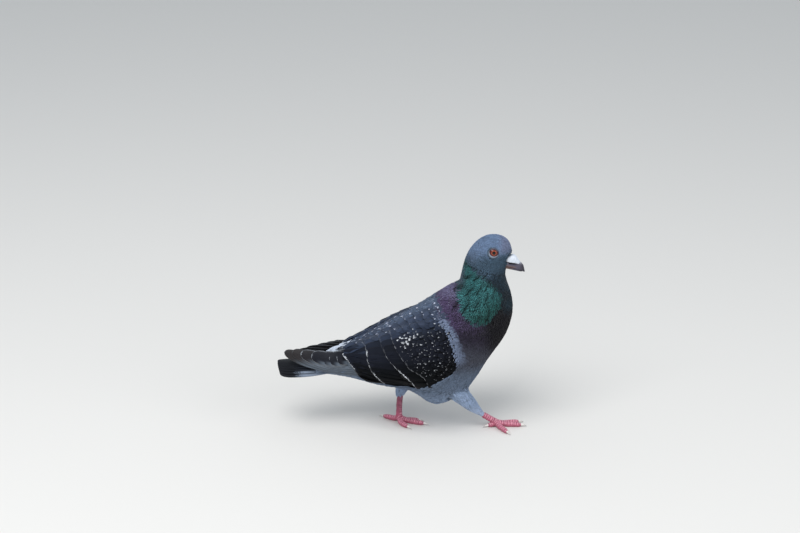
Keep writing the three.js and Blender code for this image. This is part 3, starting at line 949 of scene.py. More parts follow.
def makeCoat():
    kinds = np.array([kindOf(name) for name in nodes])
    centres = outline["centres"]
    parts = kinds[nearestParts(centres, list(nodes))]
    faces = np.arange(len(parts))
    x, aside, z = centres.T

    def headSize(p):  # smallest round the bill and the eyes
        fromBill = np.linalg.norm(p - billBase, axis=1)
        fromEye = np.minimum(*[np.linalg.norm(p - eye["rim"], axis=1) for eye in eyes.values()])
        away = smooth(6, 24, fromBill) * smooth(3, 12, fromEye)
        return (0.6 + 0.45 * away) * (1 + 0.35 * smooth(172, 156, p[:, 2]))

    def neckSize(p):
        return 0.8 + 0.3 * smooth(165, 125, p[:, 2]) + 0.35 * smooth(125, 96, p[:, 2])

    def trunkSize(p):
        rump = smooth(-44, -56, p[:, 0]) * smooth(20, 50, flankAngle(p))
        ahead = p[:, 0] - np.interp(p[:, 2], *wingFront) - 4
        shoulder = np.exp(-(ahead / 5) ** 2) * smooth(66, 82, p[:, 2])
        return 0.62 + 0.45 * smooth(60, 0, p[:, 0]) - 0.4 * rump - 0.12 * shoulder

    def thighSize(p):
        return 0.72 + 0.28 * smooth(16, 45, p[:, 2])

    glossy = featherMaterial("neckPlumage", 0.4, metallic=0.35, barbs=40, rootShade=0.3, bump=0.3)
    soft = featherMaterial("bodyPlumage", 0.7, tip=(0.4, 0.45, 0.55), barbs=60, rootShade=0.75, bump=0.2,
                           gloss=0.1)
    fine = featherMaterial("headPlumage", 0.66, barbs=30, rootShade=0.78, bump=0.1)
    ahead = x - np.interp(z, *wingFront)
    body = (parts == "neck") | (parts == "trunk") | (parts == "tail") & (x > -80) \
        | (parts == "wing") & (ahead > 2)
    hackled = body & (z > 104) & (np.hypot((x - 76) / 27, np.minimum(z - 148, 0) / 36) < 1)
    angle = flankAngle(centres)
    plain = body & ~hackled
    back = plain & (angle > 30) & ((x < -50) | (angle > 76) & (x < 40) | (ahead > 2))
    under = plain & (angle <= 30)
    for name, kind, chosen, slot, material, sizeAt, seed in [
            ("coatHead", "head", parts == "head", "head_feathers", fine, headSize, 11),
            ("coatNeck", "neck", hackled, "neck_feathers", glossy, neckSize, 21),
            ("coatBack", "trunk", back, "body_feathers", soft, trunkSize, 31),
            ("coatBreast", "trunk", under & (x > 40), "body_feathers", soft, trunkSize, 41),
            ("coatBelly", "trunk", under & (x <= 40), "body_feathers", soft, trunkSize, 45)]:
        coatPiece(name, kind, faces[chosen], bodyPlumage, bodyLie, material, bodyLine, sizeAt, seed)
    for side, sign in sides.items():
        feathered = (z > skinSettings["sockEnd"]) | (side == "right")
        leg = faces[(parts == "thigh") & (aside * sign > 0) & feathered]
        coatPiece("coatThigh" + side.title(), "thigh", leg, thighPlumage, legLie(side),
                  soft, legLines[side], thighSize, 51 + sign)


# wings: rows of coverts over the secondaries, each row set out along the line of its tips

wingRows = [
    # tips run from the back down to the edge as (x, degrees round the body); sizes go top to bottom;
    # "faint" gives the degrees at which the pale line is faint and at which it is full
    {"tips": [(-62, 84), (-62, 60), (-61, 37), (-53, 12), (-44, -25), (-33, -44)], "faint": (2, 14),
     "count": 13, "length": (58, 50), "width": (17, 15), "lineDepth": 0.036, "line": (0.4, 1)},
    {"tips": [(-44, 66), (-38, 40), (-36, 15), (-31, -6), (-20, -30), (-13, -46)], "faint": (44, 14),
     "count": 13, "length": (32, 30), "width": (14, 12), "lineDepth": 0.055, "line": (0.3, 1)},
    {"tips": [(-26, 62), (-22, 32), (-16, 15), (-11, 5), (-2, -9), (8, -24), (15, -44)], "faint": (26, 4),
     "count": 14, "length": (25, 22), "width": (12.5, 10.5), "lineDepth": 0.06, "line": (0.2, 1)},
    {"tips": [(-15, 60), (-10, 30), (-6, 20), (6, -3), (21, -18), (28, -42)], "faint": (60, -60),
     "count": 19, "length": (18, 15), "width": (8.5, 7.5), "lineDepth": 0.07, "line": (0.0, 0.8)},
]
lesserRows = {
    "count": 13, "step": 4.3, "tips": [(-11, 60), (-6, 30), (-2, 20), (10, -3), (25, -18), (32, -42)],
    "feathers": 25, "length": (12.5, 8.5), "width": (6.4, 4.6), "jitter": 0.28,
    "lengthLoss": (0.35, 0.2), "widthLoss": (0.3, 0.15),  # by the foremost row, at the back and the edge
}
scapularRows = {
    "count": 12, "start": -50, "step": 7.6, "angles": (87, 51), "feathers": 8,
    "length": (24, 14), "width": (11, 6.5), "jitter": 0.15,
}
speckles = {
    "from": (-10, -22), "to": (50, 40),  # x and degrees round the body
    "often": 0.78, "elsewhere": 0.04, "dashes": 0.55,
    "patches": [(1, 33, 7), (6, 27, 5), (-9, 8, 3.5), (12, 36, 4)],  # the whitest places: x, degrees, reach
}
wingDepth = 2.1  # how deep the roots of the wing feathers lie


def flankPoints(side, xs, angles):
    found = []
    for x, angle in zip(xs, np.radians(angles)):
        out = np.array([0, sides[side] * math.cos(angle), math.sin(angle)])
        core = np.array([x, 0, coreHeight(x)])
        hit = outline["tree"].ray_cast(core + out * 120, -out)[0]
        found.append(core + out * 20 if hit is None else np.array(hit))
    return np.array(found)


def rowTips(side, tips, count, chance, jitter):
    # evenly spaced places along the line of tips, measured over the surface
    tips = np.array(tips, float)
    shares = np.linspace(0, len(tips) - 1, 60)
    xs = np.interp(shares, range(len(tips)), tips[:, 0])
    angles = np.interp(shares, range(len(tips)), tips[:, 1])
    line = flankPoints(side, xs, angles)
    run = np.concatenate([[0], np.cumsum(np.linalg.norm(np.diff(line, axis=0), axis=1))])
    spots = np.linspace(0, run[-1], count) + chance.normal(0, jitter, count) * run[-1] / count
    ahead = chance.normal(0, jitter * 3, count)
    return flankPoints(side, np.interp(spots, run, xs) + ahead, np.interp(spots, run, angles))


def specks(tips, chance):  # small white marks at the tips, as strength, depth and reach
    s = speckles
    count = len(tips)
    x, angle = tips[:, 0], flankAngle(tips)
    (x0, angle0), (x1, angle1) = s["from"], s["to"]
    inside = smooth(x0 - 6, x0 + 4, x) * (1 - smooth(x1 - 6, x1 + 4, x)) \
        * smooth(angle0 - 8, angle0 + 4, angle) * (1 - smooth(angle1 - 4, angle1 + 8, angle))
    often = s["elsewhere"] + (s["often"] - s["elsewhere"]) * inside
    strength = np.where(chance.random(count) < often, chance.uniform(0.2, 0.95, count), 0)
    long = chance.random(count) < s["dashes"]
    size = np.where(long, chance.uniform(0.12, 0.3, count), chance.uniform(0.05, 0.12, count))
    reach = np.where(long, chance.uniform(0.08, 0.2, count), chance.uniform(0.18, 0.5, count))
    for px, pAngle, pReach in s["patches"]:
        near = np.exp(-((x - px) / pReach) ** 2 - ((angle - pAngle) / pReach) ** 2)
        chosen = chance.random(count) < 1.5 * near
        strength = np.where(chosen, np.maximum(strength, chance.uniform(0.5, 1, count)), strength)
        size, reach = size + 0.12 * near, reach + 0.3 * near * chance.random(count)
    return np.stack([strength, size, reach], 1)


def wingRow(side, row, level, seed):
    chance = np.random.default_rng(seed)
    tips = rowTips(side, row["tips"], row["count"], chance, row.get("jitter", 0.05))
    tips = tips[tips[:, 0] < np.interp(tips[:, 2], *wingFront) + 1.5]
    count = len(tips)
    if count < 2:
        return None
    down = np.linspace(0, 1, count)
    length = within(row["length"], down) * chance.uniform(0.94, 1.06, count)
    width = within(row["width"], down)
    stations, normals = layAlong(tips, length, 7, bodyLie, backwards=True)
    along = np.gradient(tips, axis=0)
    ahead = unit(stations[:, -1] - stations[:, -2])
    slant = (along * ahead).sum(1) / (along * np.cross(ahead, normals[:, -1])).sum(1)
    if row.get("line"):
        clear = 0.15 + 0.85 * smooth(*row["faint"], flankAngle(tips))
        tipMarks = np.stack([chance.uniform(*row["line"], count) * clear,
                             row["lineDepth"] * chance.uniform(0.45, 1.4, count),
                             np.where(chance.random(count) < 0.3, 0.75, 2)], 1)
    else:
        tipMarks = row["marks"](tips, chance)
    return {
        "stations": stations, "normals": normals, "tipMarks": tipMarks, "width": width,
        "marks": np.stack([chance.uniform(0, 0.25, count), chance.random(count), np.zeros(count)], 1),
        "low": np.full(count, -wingDepth), "high": -0.5 + 0.25 * level - 0.012 * np.arange(count),
        "cup": 0.03 * width, "roll": np.full(count, -0.22 * sides[side]), "slant": np.clip(slant, -1, 1),
        "colours": wingPlumage(stations[:, 5]) * chance.uniform(0.85, 1.15, (count, 1)),
    }


def joinedRows(rows):
    rows = [row for row in rows if row]
    return {key: np.concatenate([row[key] for row in rows]) for key in rows[0]}


def rowsPiece(name, rows, form, shape, thick, material, patch, seed):
    whole = joinedRows(rows)
    look = {**{key: whole[key] for key in ("width", "low", "high", "cup", "roll", "slant")}, "thick": thick,
            "shape": shape, "ragged": 0.012, "chance": np.random.default_rng(seed)}
    bakePlaces = sleeve(whole["stations"][:, 0], bodyLine)
    piece = feathersFrom(name, whole["stations"], whole["normals"], look, flatBall(*form), whole["colours"],
                         whole["marks"], whole["tipMarks"], bakePlaces, patch)
    print(name, len(whole["width"]), "feathers", len(piece.data.polygons), "faces")
    return finishPiece(piece, material)


def makeWings():
    dark = featherMaterial("wingPlumage", 0.6, tip=(0.6, 0.62, 0.66), edge=(0.04, 0.045, 0.06),
                           barbs=150, rootShade=0.8, gloss=0.05)
    flecked = featherMaterial("scapularPlumage", 0.6, tip=(0.5, 0.53, 0.66), edge=(0.08, 0.1, 0.14),
                              barbs=110, rootShade=0.7, gloss=0.15)
    for side in sides:
        seed = 100 + sides[side]
        large = [wingRow(side, row, level, seed + level) for level, row in enumerate(wingRows)]
        small, top = [], []
        s = lesserRows
        for k, share in enumerate(np.linspace(0, 1, s["count"])):
            row = {
                "tips": [(x + k * s["step"], angle) for x, angle in s["tips"]], "count": s["feathers"],
                "length": [full * (1 - loss * share) for full, loss in zip(s["length"], s["lengthLoss"])],
                "width": [full * (1 - loss * share) for full, loss in zip(s["width"], s["widthLoss"])],
                "marks": specks, "jitter": s["jitter"],
            }
            small.append(wingRow(side, row, 1.5 + 0.1 * k, seed + 20 + k))
        s = scapularRows
        for k, share in enumerate(np.linspace(0, 1, s["count"])):
            x = s["start"] + k * s["step"]
            row = {
                "tips": [(x - 5, s["angles"][0] - 3 * share), (x + 4, s["angles"][1])],
                "count": s["feathers"],
                "length": (within(s["length"], share),) * 2, "width": (within(s["width"], share),) * 2,
                "marks": flecks, "jitter": s["jitter"],
            }
            top.append(wingRow(side, row, 2.2 + 0.1 * k, seed + 40 + k))
        end = side.title()
        pointed = (0.4, 4.5, 0.5)
        rowsPiece("secondaries" + end, large, (10, 11, 1.7), (0.3, 12, 0.5), 0.22, dark, 0.012, seed)
        rowsPiece("lesserCoverts" + end, small, (8, 6, 1.4), pointed, 0.16, dark, 0.005, seed + 5)
        rowsPiece("scapulars" + end, top, (8, 7, 1.4), pointed, 0.18, flecked, 0.007, seed + 7)


# flight feathers that stand clear of the body: primaries and tail

primarySettings = {
    # each tip, of the right wing, from the shortest feather to the longest
    "tipsX": (-66, -74, -83, -92, -103, -112, -120),
    "tipZ": {"right": (80.5, 81, 82, 83.2, 84.2, 84.4, 83), "left": (79.5, 79, 78.5, 78, 77.5, 76.5, 75.5)},
    "rootX": -38,
    "rootZ": (81, 63),  # where the shortest and the longest start, fanned out
    "bow": 1.6,  # how far the lowest sags on its way
    "width": (17, 13),  # of the shortest and of the longest
    "inset": (0.7, 0.62),  # of the top feather below the outer surface, and of each one below it
    "rootInset": 5.5,  # how much deeper they lie where the wing covers them
    # of the shortest feathers and of the longest
    "tones": {"right": (tint(20, 22, 30), tint(41, 38, 39)), "left": (tint(40, 40, 44),) * 2},
}
tailSettings = {
    "feathers": 12,
    "rootX": -58,
    "width": 14.5,
    "layer": 0.12,  # how far each feather lies under its inner neighbour
    "rise": 9.2,  # how far above the end of the bare tail the middle feathers end
    "arch": 6.0,  # and how much lower the outermost end
    "tone": tint(34, 38, 47),
    "whiteFrom": 0.7,  # the feathers farther out than this, as a share, have a pale outer web
}


def curved(points, count):  # a smooth line through a few places
    points = np.array(points, float)
    padded = np.concatenate([[2 * points[0] - points[1]], points, [2 * points[-1] - points[-2]]])
    line = []
    for share in np.linspace(0, len(points) - 1, count):
        k = min(int(share), len(points) - 2)
        t = share - k
        a, b, c, d = padded[k:k + 4]
        line.append(0.5 * (2 * b + (c - a) * t + (2 * a - 5 * b + 4 * c - d) * t * t
                           + (3 * b - a - 3 * c + d) * t ** 3))
    return np.array(line)


def gridPlaces(count):  # the middles of equal patches side by side, and how many patches to a row
    cells = math.ceil(math.sqrt(count))
    return np.array([((k % cells + 0.5) / cells, (k // cells + 0.5) / cells) for k in range(count)]), cells


def quillPiece(name, lines, outward, widths, colours, marks, tipMarks, shape, material, replaced, seed):
    flat = np.zeros(len(lines))
    look = {"width": widths, "low": flat, "high": flat, "cup": 0.05 * widths, "roll": flat, "thick": 0.32,
            "shape": shape, "ragged": 0.008, "chance": np.random.default_rng(seed)}
    bakePlaces, cells = gridPlaces(len(lines))
    piece = feathersFrom(name, lines, outward, look, flatBall(12, 17, 1.5), np.array(colours),
                         np.array(marks), np.array(tipMarks), bakePlaces, 0.92 / cells)
    return finishPiece(piece, material, replaced)


def shaftPiece(name, lines, outward, lift, material):
    flat = np.zeros(len(lines))
    look = {"width": flat + 0.8, "low": flat + lift, "high": flat + lift * 0.4, "cup": flat, "roll": flat,
            "thick": 0.2, "shape": (0.15, 1.2, 0.9), "chance": np.random.default_rng(1)}
    bakePlaces, cells = gridPlaces(len(lines))
    none = np.zeros((len(lines), 3))
    piece = feathersFrom(name, lines, outward, look, flatBall(6, 12), none, none, none, bakePlaces,
                         0.9 / cells)
    return finishPiece(piece, material)


def makePrimaries():
    s = primarySettings
    material = featherMaterial("flightPlumage", 0.5, tip=(0.26, 0.28, 0.31), edge=(0.21, 0.225, 0.25),
                               web=(0.12, 0.145, 0.18), barbs=260, rootShade=0.95, bump=0.35, gloss=0.15)
    count = len(s["tipsX"])
    for side, sign in sides.items():
        low = nodeBox("primaries_" + side)[0]
        shorter = low[0] + 120.5  # the left wing ends a little short of the right
        lines, outward, marks, tipMarks, colours, widths = [], [], [], [], [], []
        for k, tipX in enumerate(s["tipsX"]):
            share = k / (count - 1)  # 0 the shortest, on top; 1 the longest, along the lower edge
            tipX = tipX + shorter * share
            line = []
            for run in np.linspace(0, 1, 9):
                x = within((s["rootX"], tipX), run)
                z = within((within(s["rootZ"], share), s["tipZ"][side][k]), run)
                z -= s["bow"] * share * 4 * run * (1 - run)
                inner = s["inset"][0] + s["inset"][1] * k * (1 - 0.45 * run) \
                    + s["rootInset"] * smooth(-66, -54, x)
                place = (max(x, low[0] + 2.5), sign * 90, min(z, 79.5) if x < -90 else z)
                hit = outline["tree"].ray_cast(place, (0, -sign, 0))[0]
                if hit is None:
                    hit = partTrees["primaries_" + side].find_nearest((x, sign * 40, z))[0]
                line.append((x, hit[1] - sign * inner, z))
            line = np.array(line)
            line[1:-1] = (line[:-2] + 2 * line[1:-1] + line[2:]) / 4
            lines.append(line)
            outward.append(unit(np.array([0, sign * 0.9, 0.48 - 0.26 * share])) * np.ones((9, 1)))
            widths.append(within(s["width"], share))
            colours.append(blended(*s["tones"][side], smooth(3, 5, k)))
            edged = k < count - 2
            marks.append((0.9 if edged else 0.2, 0.5, sign))
            tipMarks.append((0.9, 0.02, 2) if edged else (0, 0, 0))
        quillPiece("primaries" + side.title(), np.array(lines), np.array(outward), np.array(widths), colours,
                   marks, tipMarks, (0.2, 9, 0.5), material, ["primaries_" + side], 300)


def makeTail(shaftMaterial):
    s = tailSettings
    low, high = nodeBox("tail")
    points = nodePoints("tail")
    tipZ = points[points[:, 0] < low[0] + 1][:, 2].mean()
    halfSpread = high[1] - s["width"] / 2 - 0.5
    # a dark band before a thin paler end
    material = featherMaterial("tailPlumage", 0.5, tip=(0.008, 0.009, 0.012), edge=(0.04, 0.045, 0.055),
                               web=(0.2, 0.24, 0.31), barbs=260, rootShade=0.95, bump=0.35, gloss=0.08)
    lines, marks, outward = [], [], []
    count = s["feathers"]
    for k in range(count):
        place = (k + 0.5) / count * 2 - 1  # -1 the right edge, 1 the left
        away = abs(place)
        sink = s["arch"] * place ** 2 + s["layer"] * 3 * away - s["rise"]
        tip = (low[0] + 0.6 + 3.2 * place ** 2, halfSpread * place, tipZ - sink)
        middle = (-92, halfSpread * 0.78 * place, tipZ + 1.6 * (1 - away) - sink * 0.95)
        root = (s["rootX"], 5 * place, tipZ + 7.0 * (1 - 0.5 * away) - sink * 0.6)
        lines.append(curved([root, middle, tip], 9))
        marks.append((0.15, 0.4 + 0.2 * (k % 2), 0 if away < s["whiteFrom"] else np.sign(place)))
        outward.append(np.tile(unit(np.array([0.05, 0.4 * place + 0.35 * place ** 7, 1.0])), (9, 1)))
    lines, outward = np.array(lines), np.array(outward)
    quillPiece("tailFeathers", lines, outward, np.full(count, s["width"]), [s["tone"]] * count, marks,
               [(1, 0.38, 2)] * count, (0.2, 12, 0.45), material, [], 400)
    shaftPiece("tailShafts", lines, outward, 0.35, shaftMaterial)


# eyes

eyeSettings = {
    "shift": (0.8, -0.5, 0.9),  # of each eye from its first place: ahead, outwards, up
    "pupil": 1.75,
    "orangeTo": 2.6,
    "iris": 4.3,
    "orange": tint(152, 70, 42),
    "red": tint(76, 19, 19),
    "dark": tint(40, 12, 12),
    "opening": (4.55, 3.7),  # half its length and half its height
    "tilt": -20,  # degrees, the front corner lower
    "lid": 0.34,
    "lidTones": (tint(72, 74, 88), tint(150, 158, 174)),  # above and below
    "bareTo": 5.4,  # the pale skin ends here, under the first feathers
    "socket": 7.8,  # the head's own surface begins here
    "flange": 7.6,  # and the skin round the eye goes on, unseen, to here
    "bareRadius": 4.7,  # nearer to an eye than this no feather is rooted
}


def eyeData():
    found = {}
    centres = {side: nodeMiddle("eye_" + side) for side in sides}
    across = unit(centres["left"] - centres["right"])
    for side, centre in centres.items():
        low, high = nodeBox("eye_" + side)
        radius = (high[2] - low[2]) / 2
        axis = across * sides[side]
        ahead = np.array([across[1], -across[0], 0])
        forth, out, up = eyeSettings["shift"]
        centre = centre + ahead * forth + axis * out + np.array([0, 0, up])
        normals = []  # of the head round the eye
        for turn in np.linspace(0, 2 * math.pi, 13)[:12]:
            start = centre + 7 * (ahead * math.cos(turn) + np.array([0, 0, math.sin(turn)])) + axis * 40
            hit = partTrees["head"].ray_cast(start, -axis)
            if hit[0] is not None:
                normals.append(np.array(hit[1]))
        axis = unit(axis * 0.25 + unit(np.mean(normals, 0)))
        forward = unit(ahead - axis * (ahead @ axis))
        above = np.cross(axis, forward) * sides[side] * -1
        found[side] = {"centre": centre, "radius": radius, "axis": axis, "ahead": ahead, "forward": forward,
                       "above": above, "rim": centre + axis * (radius - 0.9)}
    return found


def eyeMaterial():
    s = eyeSettings
    material, tree, shader = newMaterial("wetEye")
    ring = attribute(tree, "ring", "Fac")
    fibres = sums(tree, "SUBTRACT", noise(tree, 1400.0, 3.0), 0.5)
    blurred = sums(tree, "MULTIPLY_ADD", fibres, 0.5, ring)
    red = ramped(tree, blurred, s["orangeTo"] - 0.5, s["orangeTo"] + 0.4)
    dark = ramped(tree, ring, s["iris"] - 0.5, s["iris"] + 0.1)
    beyondPupil = ramped(tree, ring, s["pupil"] - 0.1, s["pupil"] + 0.15)
    colour = mixed(tree, dark, mixed(tree, red, s["orange"], s["red"]), s["dark"])
    colour = mixed(tree, beyondPupil, (0.002, 0.002, 0.002), colour)
    setInputs(shader, {"Base Color": colour, "Roughness": 0.12, "Coat Weight": 1.0, "Coat Roughness": 0.02,
                       "Coat IOR": 1.33, "Specular IOR Level": 0.15})
    return material


def turned(u, v):  # by the tilt of the eye's opening
    turn = math.radians(eyeSettings["tilt"])
    return u * math.cos(turn) - v * math.sin(turn), u * math.sin(turn) + v * math.cos(turn)


def makeEyes():
    long, tall = eyeSettings["opening"]
    material = eyeMaterial()
    rimMaterial = surfaceMaterial("eyeRim", "rim", 0.55, 900, 0.5)
    for side, eye in eyes.items():
        name = "eyeball" + side.title()
        bm = bmesh.new()
        bmesh.ops.create_uvsphere(bm, u_segments=48, v_segments=40, radius=eye["radius"] * mm)
        turn = Vector((0, 0, 1)).rotation_difference(Vector(eye["axis"])).to_matrix().to_4x4()
        bmesh.ops.transform(bm, matrix=turn, verts=bm.verts)
        bmesh.ops.translate(bm, vec=Vector(eye["centre"]) * mm, verts=bm.verts)
        mesh = meshFrom(name, bm)
        offset = vertexPlaces(mesh) - eye["centre"]
        rise = offset @ eye["axis"]
        beside = offset - rise[:, None] * eye["axis"]
        ring = np.linalg.norm(beside, axis=1) + np.where(rise < 0, 20, 0)
        v, u = turned(offset @ eye["above"], offset @ eye["forward"])  # swapped, it turns the other way
        wide = np.maximum(np.hypot(u / long, v / tall), 0.01)
        away = np.maximum(np.hypot(u, v), 0.01)
        roof = skinHeight(eye, eye["centre"] + beside, away, away / wide)
        roof -= 0.1 + 0.6 * smooth(1.05, 1.25, wide)
        sunk = np.where((wide > 1.05) & (rise > 0), np.minimum(roof - rise, 0), 0)  # it stays under the lids
        moveVertices(mesh, vertexPlaces(mesh) + eye["axis"] * sunk[:, None])
        layer = mesh.attributes.new("ring", "FLOAT", "POINT")
        layer.data.foreach_set("value", ring.astype(np.float32))
        finishPiece(newObject(name, mesh), material, ["eye_" + side])
        finishPiece(makeLids(side, eye), rimMaterial)


def skinHeight(eye, flat, away, edge):
    # from the eyeball's surface out to just under the feathers that ring it
    s = eyeSettings
    ball = np.sqrt(np.maximum(eye["radius"] ** 2 - np.minimum(away, eye["radius"] - 0.5) ** 2, 1))
    skin = ball.copy()
    reach = np.maximum(s["socket"] / away, 1)[:, None]
    for index, place in enumerate(eye["centre"] + (flat - eye["centre"]) * reach):
        hit = outline["tree"].ray_cast(place + eye["axis"] * 40, -eye["axis"])[0]
        if hit is not None:
            skin[index] = (np.array(hit) - eye["centre"]) @ eye["axis"]
    skin += np.maximum(s["socket"] ** 2 - away ** 2, 0) / 50 - 0.35
    blend = smooth(edge + 0.3, s["bareTo"] + 0.4, away)
    return (ball + 0.1) * (1 - blend) + (skin - 0.6 * smooth(s["bareTo"], s["flange"], away)) * blend


def makeLids(side, eye):
    # a thin fleshy lid that lies on the eyeball, with bare skin round it that dips under the feathers
    s = eyeSettings
    long, tall = s["opening"]
    bm = bmesh.new()
    bmesh.ops.create_grid(bm, x_segments=72, y_segments=16, size=0.5)
    angle, girth = (np.array([v.co[:2] for v in bm.verts]).T + 0.5) * 2 * math.pi
    corner = np.abs(np.cos(angle)) ** 8
    inner = np.stack([(long + 0.3 * corner) * np.cos(angle), tall * (1 - 0.12 * corner) * np.sin(angle)], 1)
    edge = np.linalg.norm(inner, axis=1)
    lid = s["lid"] * (1 + 0.2 * np.sin(angle * 14) * np.sin(angle * 5) + 0.25 * np.maximum(-np.sin(angle), 0))
    # round each section: over the lid from its lip, out along the skin, and back underneath
    run = np.where(girth < math.pi, girth / math.pi, 2 - girth / math.pi)
    away = edge + (s["flange"] - edge) * np.clip(run - 0.12, 0, 1) ** 1.3
    away -= lid * 0.3 * (1 - smooth(0, 0.45, run))
    bulge = lid * np.exp(-((run - 0.12) / 0.13) ** 2) * np.where(girth < math.pi, 1.0, -0.3)
    wrinkle = 0.07 * np.sin(run * 60) * smooth(0.2, 0.4, run) * (1 - smooth(0.6, 0.8, run))
    u, v = turned(*(inner / edge[:, None] * away[:, None]).T)
    flat = eye["centre"] + u[:, None] * eye["forward"] + v[:, None] * eye["above"]
    height = skinHeight(eye, flat, away, edge) + bulge + wrinkle - np.where(girth < math.pi, 0, 0.3)
    for vert, place in zip(bm.verts, flat + height[:, None] * eye["axis"]):
        vert.co = Vector(place) * mm
    bmesh.ops.remove_doubles(bm, verts=bm.verts, dist=0.01 * mm)
    bmesh.ops.recalc_face_normals(bm, faces=bm.faces)
    name = "eyelids" + side.title()
    mesh = meshFrom(name, bm)
    out = vertexPlaces(mesh) - eye["centre"]
    out -= (out @ eye["axis"])[:, None] * eye["axis"]
    lower = smooth(1.5, -1.5, out @ eye["above"] + 0.5 * (out @ eye["forward"]))
    feathered = smooth(s["bareTo"] - 0.7, s["bareTo"], np.linalg.norm(out, axis=1))
    # painted shade: under the ring of feathers the skin takes the cheek's colour, darkened
    setColours(mesh, "rim", blended(blended(*s["lidTones"], lower), tones["cheek"] * 0.8, feathered))
    return newObject(name, mesh)


# bill and cere

billSettings = {
    "base": (101.6, -2.5, 172.5),
    "tipped": 10,  # degrees below level
    "arch": 2.0,  # how far the ridge swells ahead of the cere
    "nostril": ((3.5, 3.9), (9.5, 4.4)),  # a slit under the cere, ahead of and above the base
    "nostrilWidth": 0.7,
    "nostrilDepth": 0.9,
    "voxel": 0.28,
    # the cere: ahead of the base, height of its top, half its width
    "cere": ((-2.6, 6.2, 1.0), (-1.4, 8.0, 3.2), (1.0, 10.4, 4.7), (3.8, 12.2, 5.2), (6.4, 12.6, 4.8),
             (8.8, 11.2, 4.1), (10.9, 9.1, 3.2), (12.6, 7.4, 2.2), (13.9, 5.8, 1.0)),
    "seat": ((-2.6, 8.5, 13.9), (5.6, 5.9, 4.9)),  # ahead, and the height of its lower edge
    "horn": tint(76, 72, 88),
    "ridge": tint(206, 210, 222),
    "tip": tint(44, 41, 52),
    "underCere": tint(108, 82, 76),
    "gape": tint(96, 72, 68),
    "chalkAndShade": (tint(150, 150, 160), tint(206, 212, 222)),  # of the cere: at its lower edge, darker as painted shade under the swelling, and above
}


def billAxes():
    ahead = eyes["right"]["ahead"]
    dip = math.radians(billSettings["tipped"])
    forward = ahead * math.cos(dip) - np.array([0, 0, 1]) * math.sin(dip)
    across = unit(np.cross((0, 0, 1.0), ahead))
    return forward, across, np.cross(forward, across)


def makeBill():
    s = billSettings
    axes = billAxes()
    forward, across, upward = axes
    material, tree, shader = newMaterial("billHorn")
    setInputs(shader, {"Base Color": mottled(tree, attribute(tree, "horn"), 500, 0.6), "Roughness": 0.36})
    for name, label in (("bill_upper", "billUpper"), ("bill_lower", "billLower")):
        piece = remeshed(fleshCopy([name]), label, s["voxel"], 0, 7)
        mesh = piece.data
        places, normals = vertexPlaces(mesh), vertexNormals(mesh)
        x, y, z = ((places - billBase) @ axis for axis in axes)
        rearward = smooth(0.35, 0.8, -(normals @ forward)) * (1 - smooth(7, 9, x))
        places -= forward * (rearward * 2.6)[:, None]
        # white runs on down the ridge
        ridge = smooth(16, 12.5, x) * smooth(1.9, 0.9, np.abs(y)) * smooth(0, 2.0, z)
        horn = blended(np.tile(s["horn"], (len(x), 1)), s["ridge"], 0.9 * ridge)
        horn = blended(horn, s["tip"], smooth(12, 18, x))
        if name == "bill_upper":
            arched = smooth(9, 14, x) * (1 - smooth(16.5, 20.5, x)) * smooth(-0.3, 0.5, normals @ upward)
            places += upward * (s["arch"] * arched)[:, None]
            (x0, z0), (x1, z1) = s["nostril"]
            share = np.clip((x - x0) / (x1 - x0), 0, 1)
            gap = np.hypot(x - within((x0, x1), share), z - within((z0, z1), share))
            slit = np.exp(-(gap / s["nostrilWidth"]) ** 2) * smooth(0.8, 1.6, np.abs(y))
            places -= across * (np.sign(y) * slit * s["nostrilDepth"])[:, None]
            # painted shade: the nostril slit is darkened, as shade in the recess
            horn = horn * (1 - 0.92 * slit[:, None])
            horn = blended(horn, s["underCere"], 0.7 * (1 - smooth(8, 12, x)) * (1 - smooth(0.8, 2.6, z)))
        else:
            horn = blended(horn, s["gape"], 1 - smooth(3, 10, x))
        moveVertices(mesh, places)
        setColours(mesh, "horn", horn)
        finishPiece(piece, material, [name])
    makeCere(axes)


def makeCere(axes):
    # two swollen lobes side by side, flat below where they roof the nostrils, drawn out behind
    s = billSettings
    forward, across, upward = axes
    along, tops, halves = np.array(s["cere"]).T
    bm = bmesh.new()
    for side in (-1, 1):
        for vert in bmesh.ops.create_uvsphere(bm, u_segments=40, v_segments=30, radius=1)["verts"]:
            x, y, z = vert.co
            girth = max(math.sqrt(max(1 - x * x, 0)), 1e-4)
            y, z = y / girth, z / girth
            ahead = within((along[0], along[-1]), math.asin(max(-1, min(1, x))) / math.pi + 0.5)
            top, half = np.interp(ahead, along, tops), np.interp(ahead, along, halves)
            seat = np.interp(ahead, *s["seat"])
            lobe = side * 0.42 * half
            aside = lobe + 0.58 * half * math.copysign(abs(y) ** 0.85, y)
            lift = (top - seat) * z ** 0.8 if z > 0 else -0.9 * abs(z)
            closed = min(1, girth * 6)  # the two ends are drawn together
            place = billBase + forward * ahead + across * within((lobe, aside), closed) \
                + upward * (seat + lift * closed)
            vert.co = Vector(place) * mm
    piece = remeshed(bm, "cereLobes", s["voxel"], 0, 4)
    mesh = piece.data
    places = vertexPlaces(mesh)
    x, y, z = ((places - billBase) @ axis for axis in axes)
    folds = 0.05 * np.sin(x * 1.7 + 1.5 * np.sin(z * 1.3)) + 0.025 * np.sin(x * 5.1 + z * 3.7)
    moveVertices(mesh, places + vertexNormals(mesh) * folds[:, None])
    # painted shade: the cere is darker along its lower edge
    setColours(mesh, "chalkAndShade", blended(*s["chalkAndShade"], smooth(-0.6, 0.8, z - np.interp(x, *s["seat"]))))
    material = surfaceMaterial("cereSkin", "chalkAndShade", 0.8, 700, 0.3, bump=0.6, grain=1500.0)
    finishPiece(piece, material, ["cere"])


# legs, feet and claws

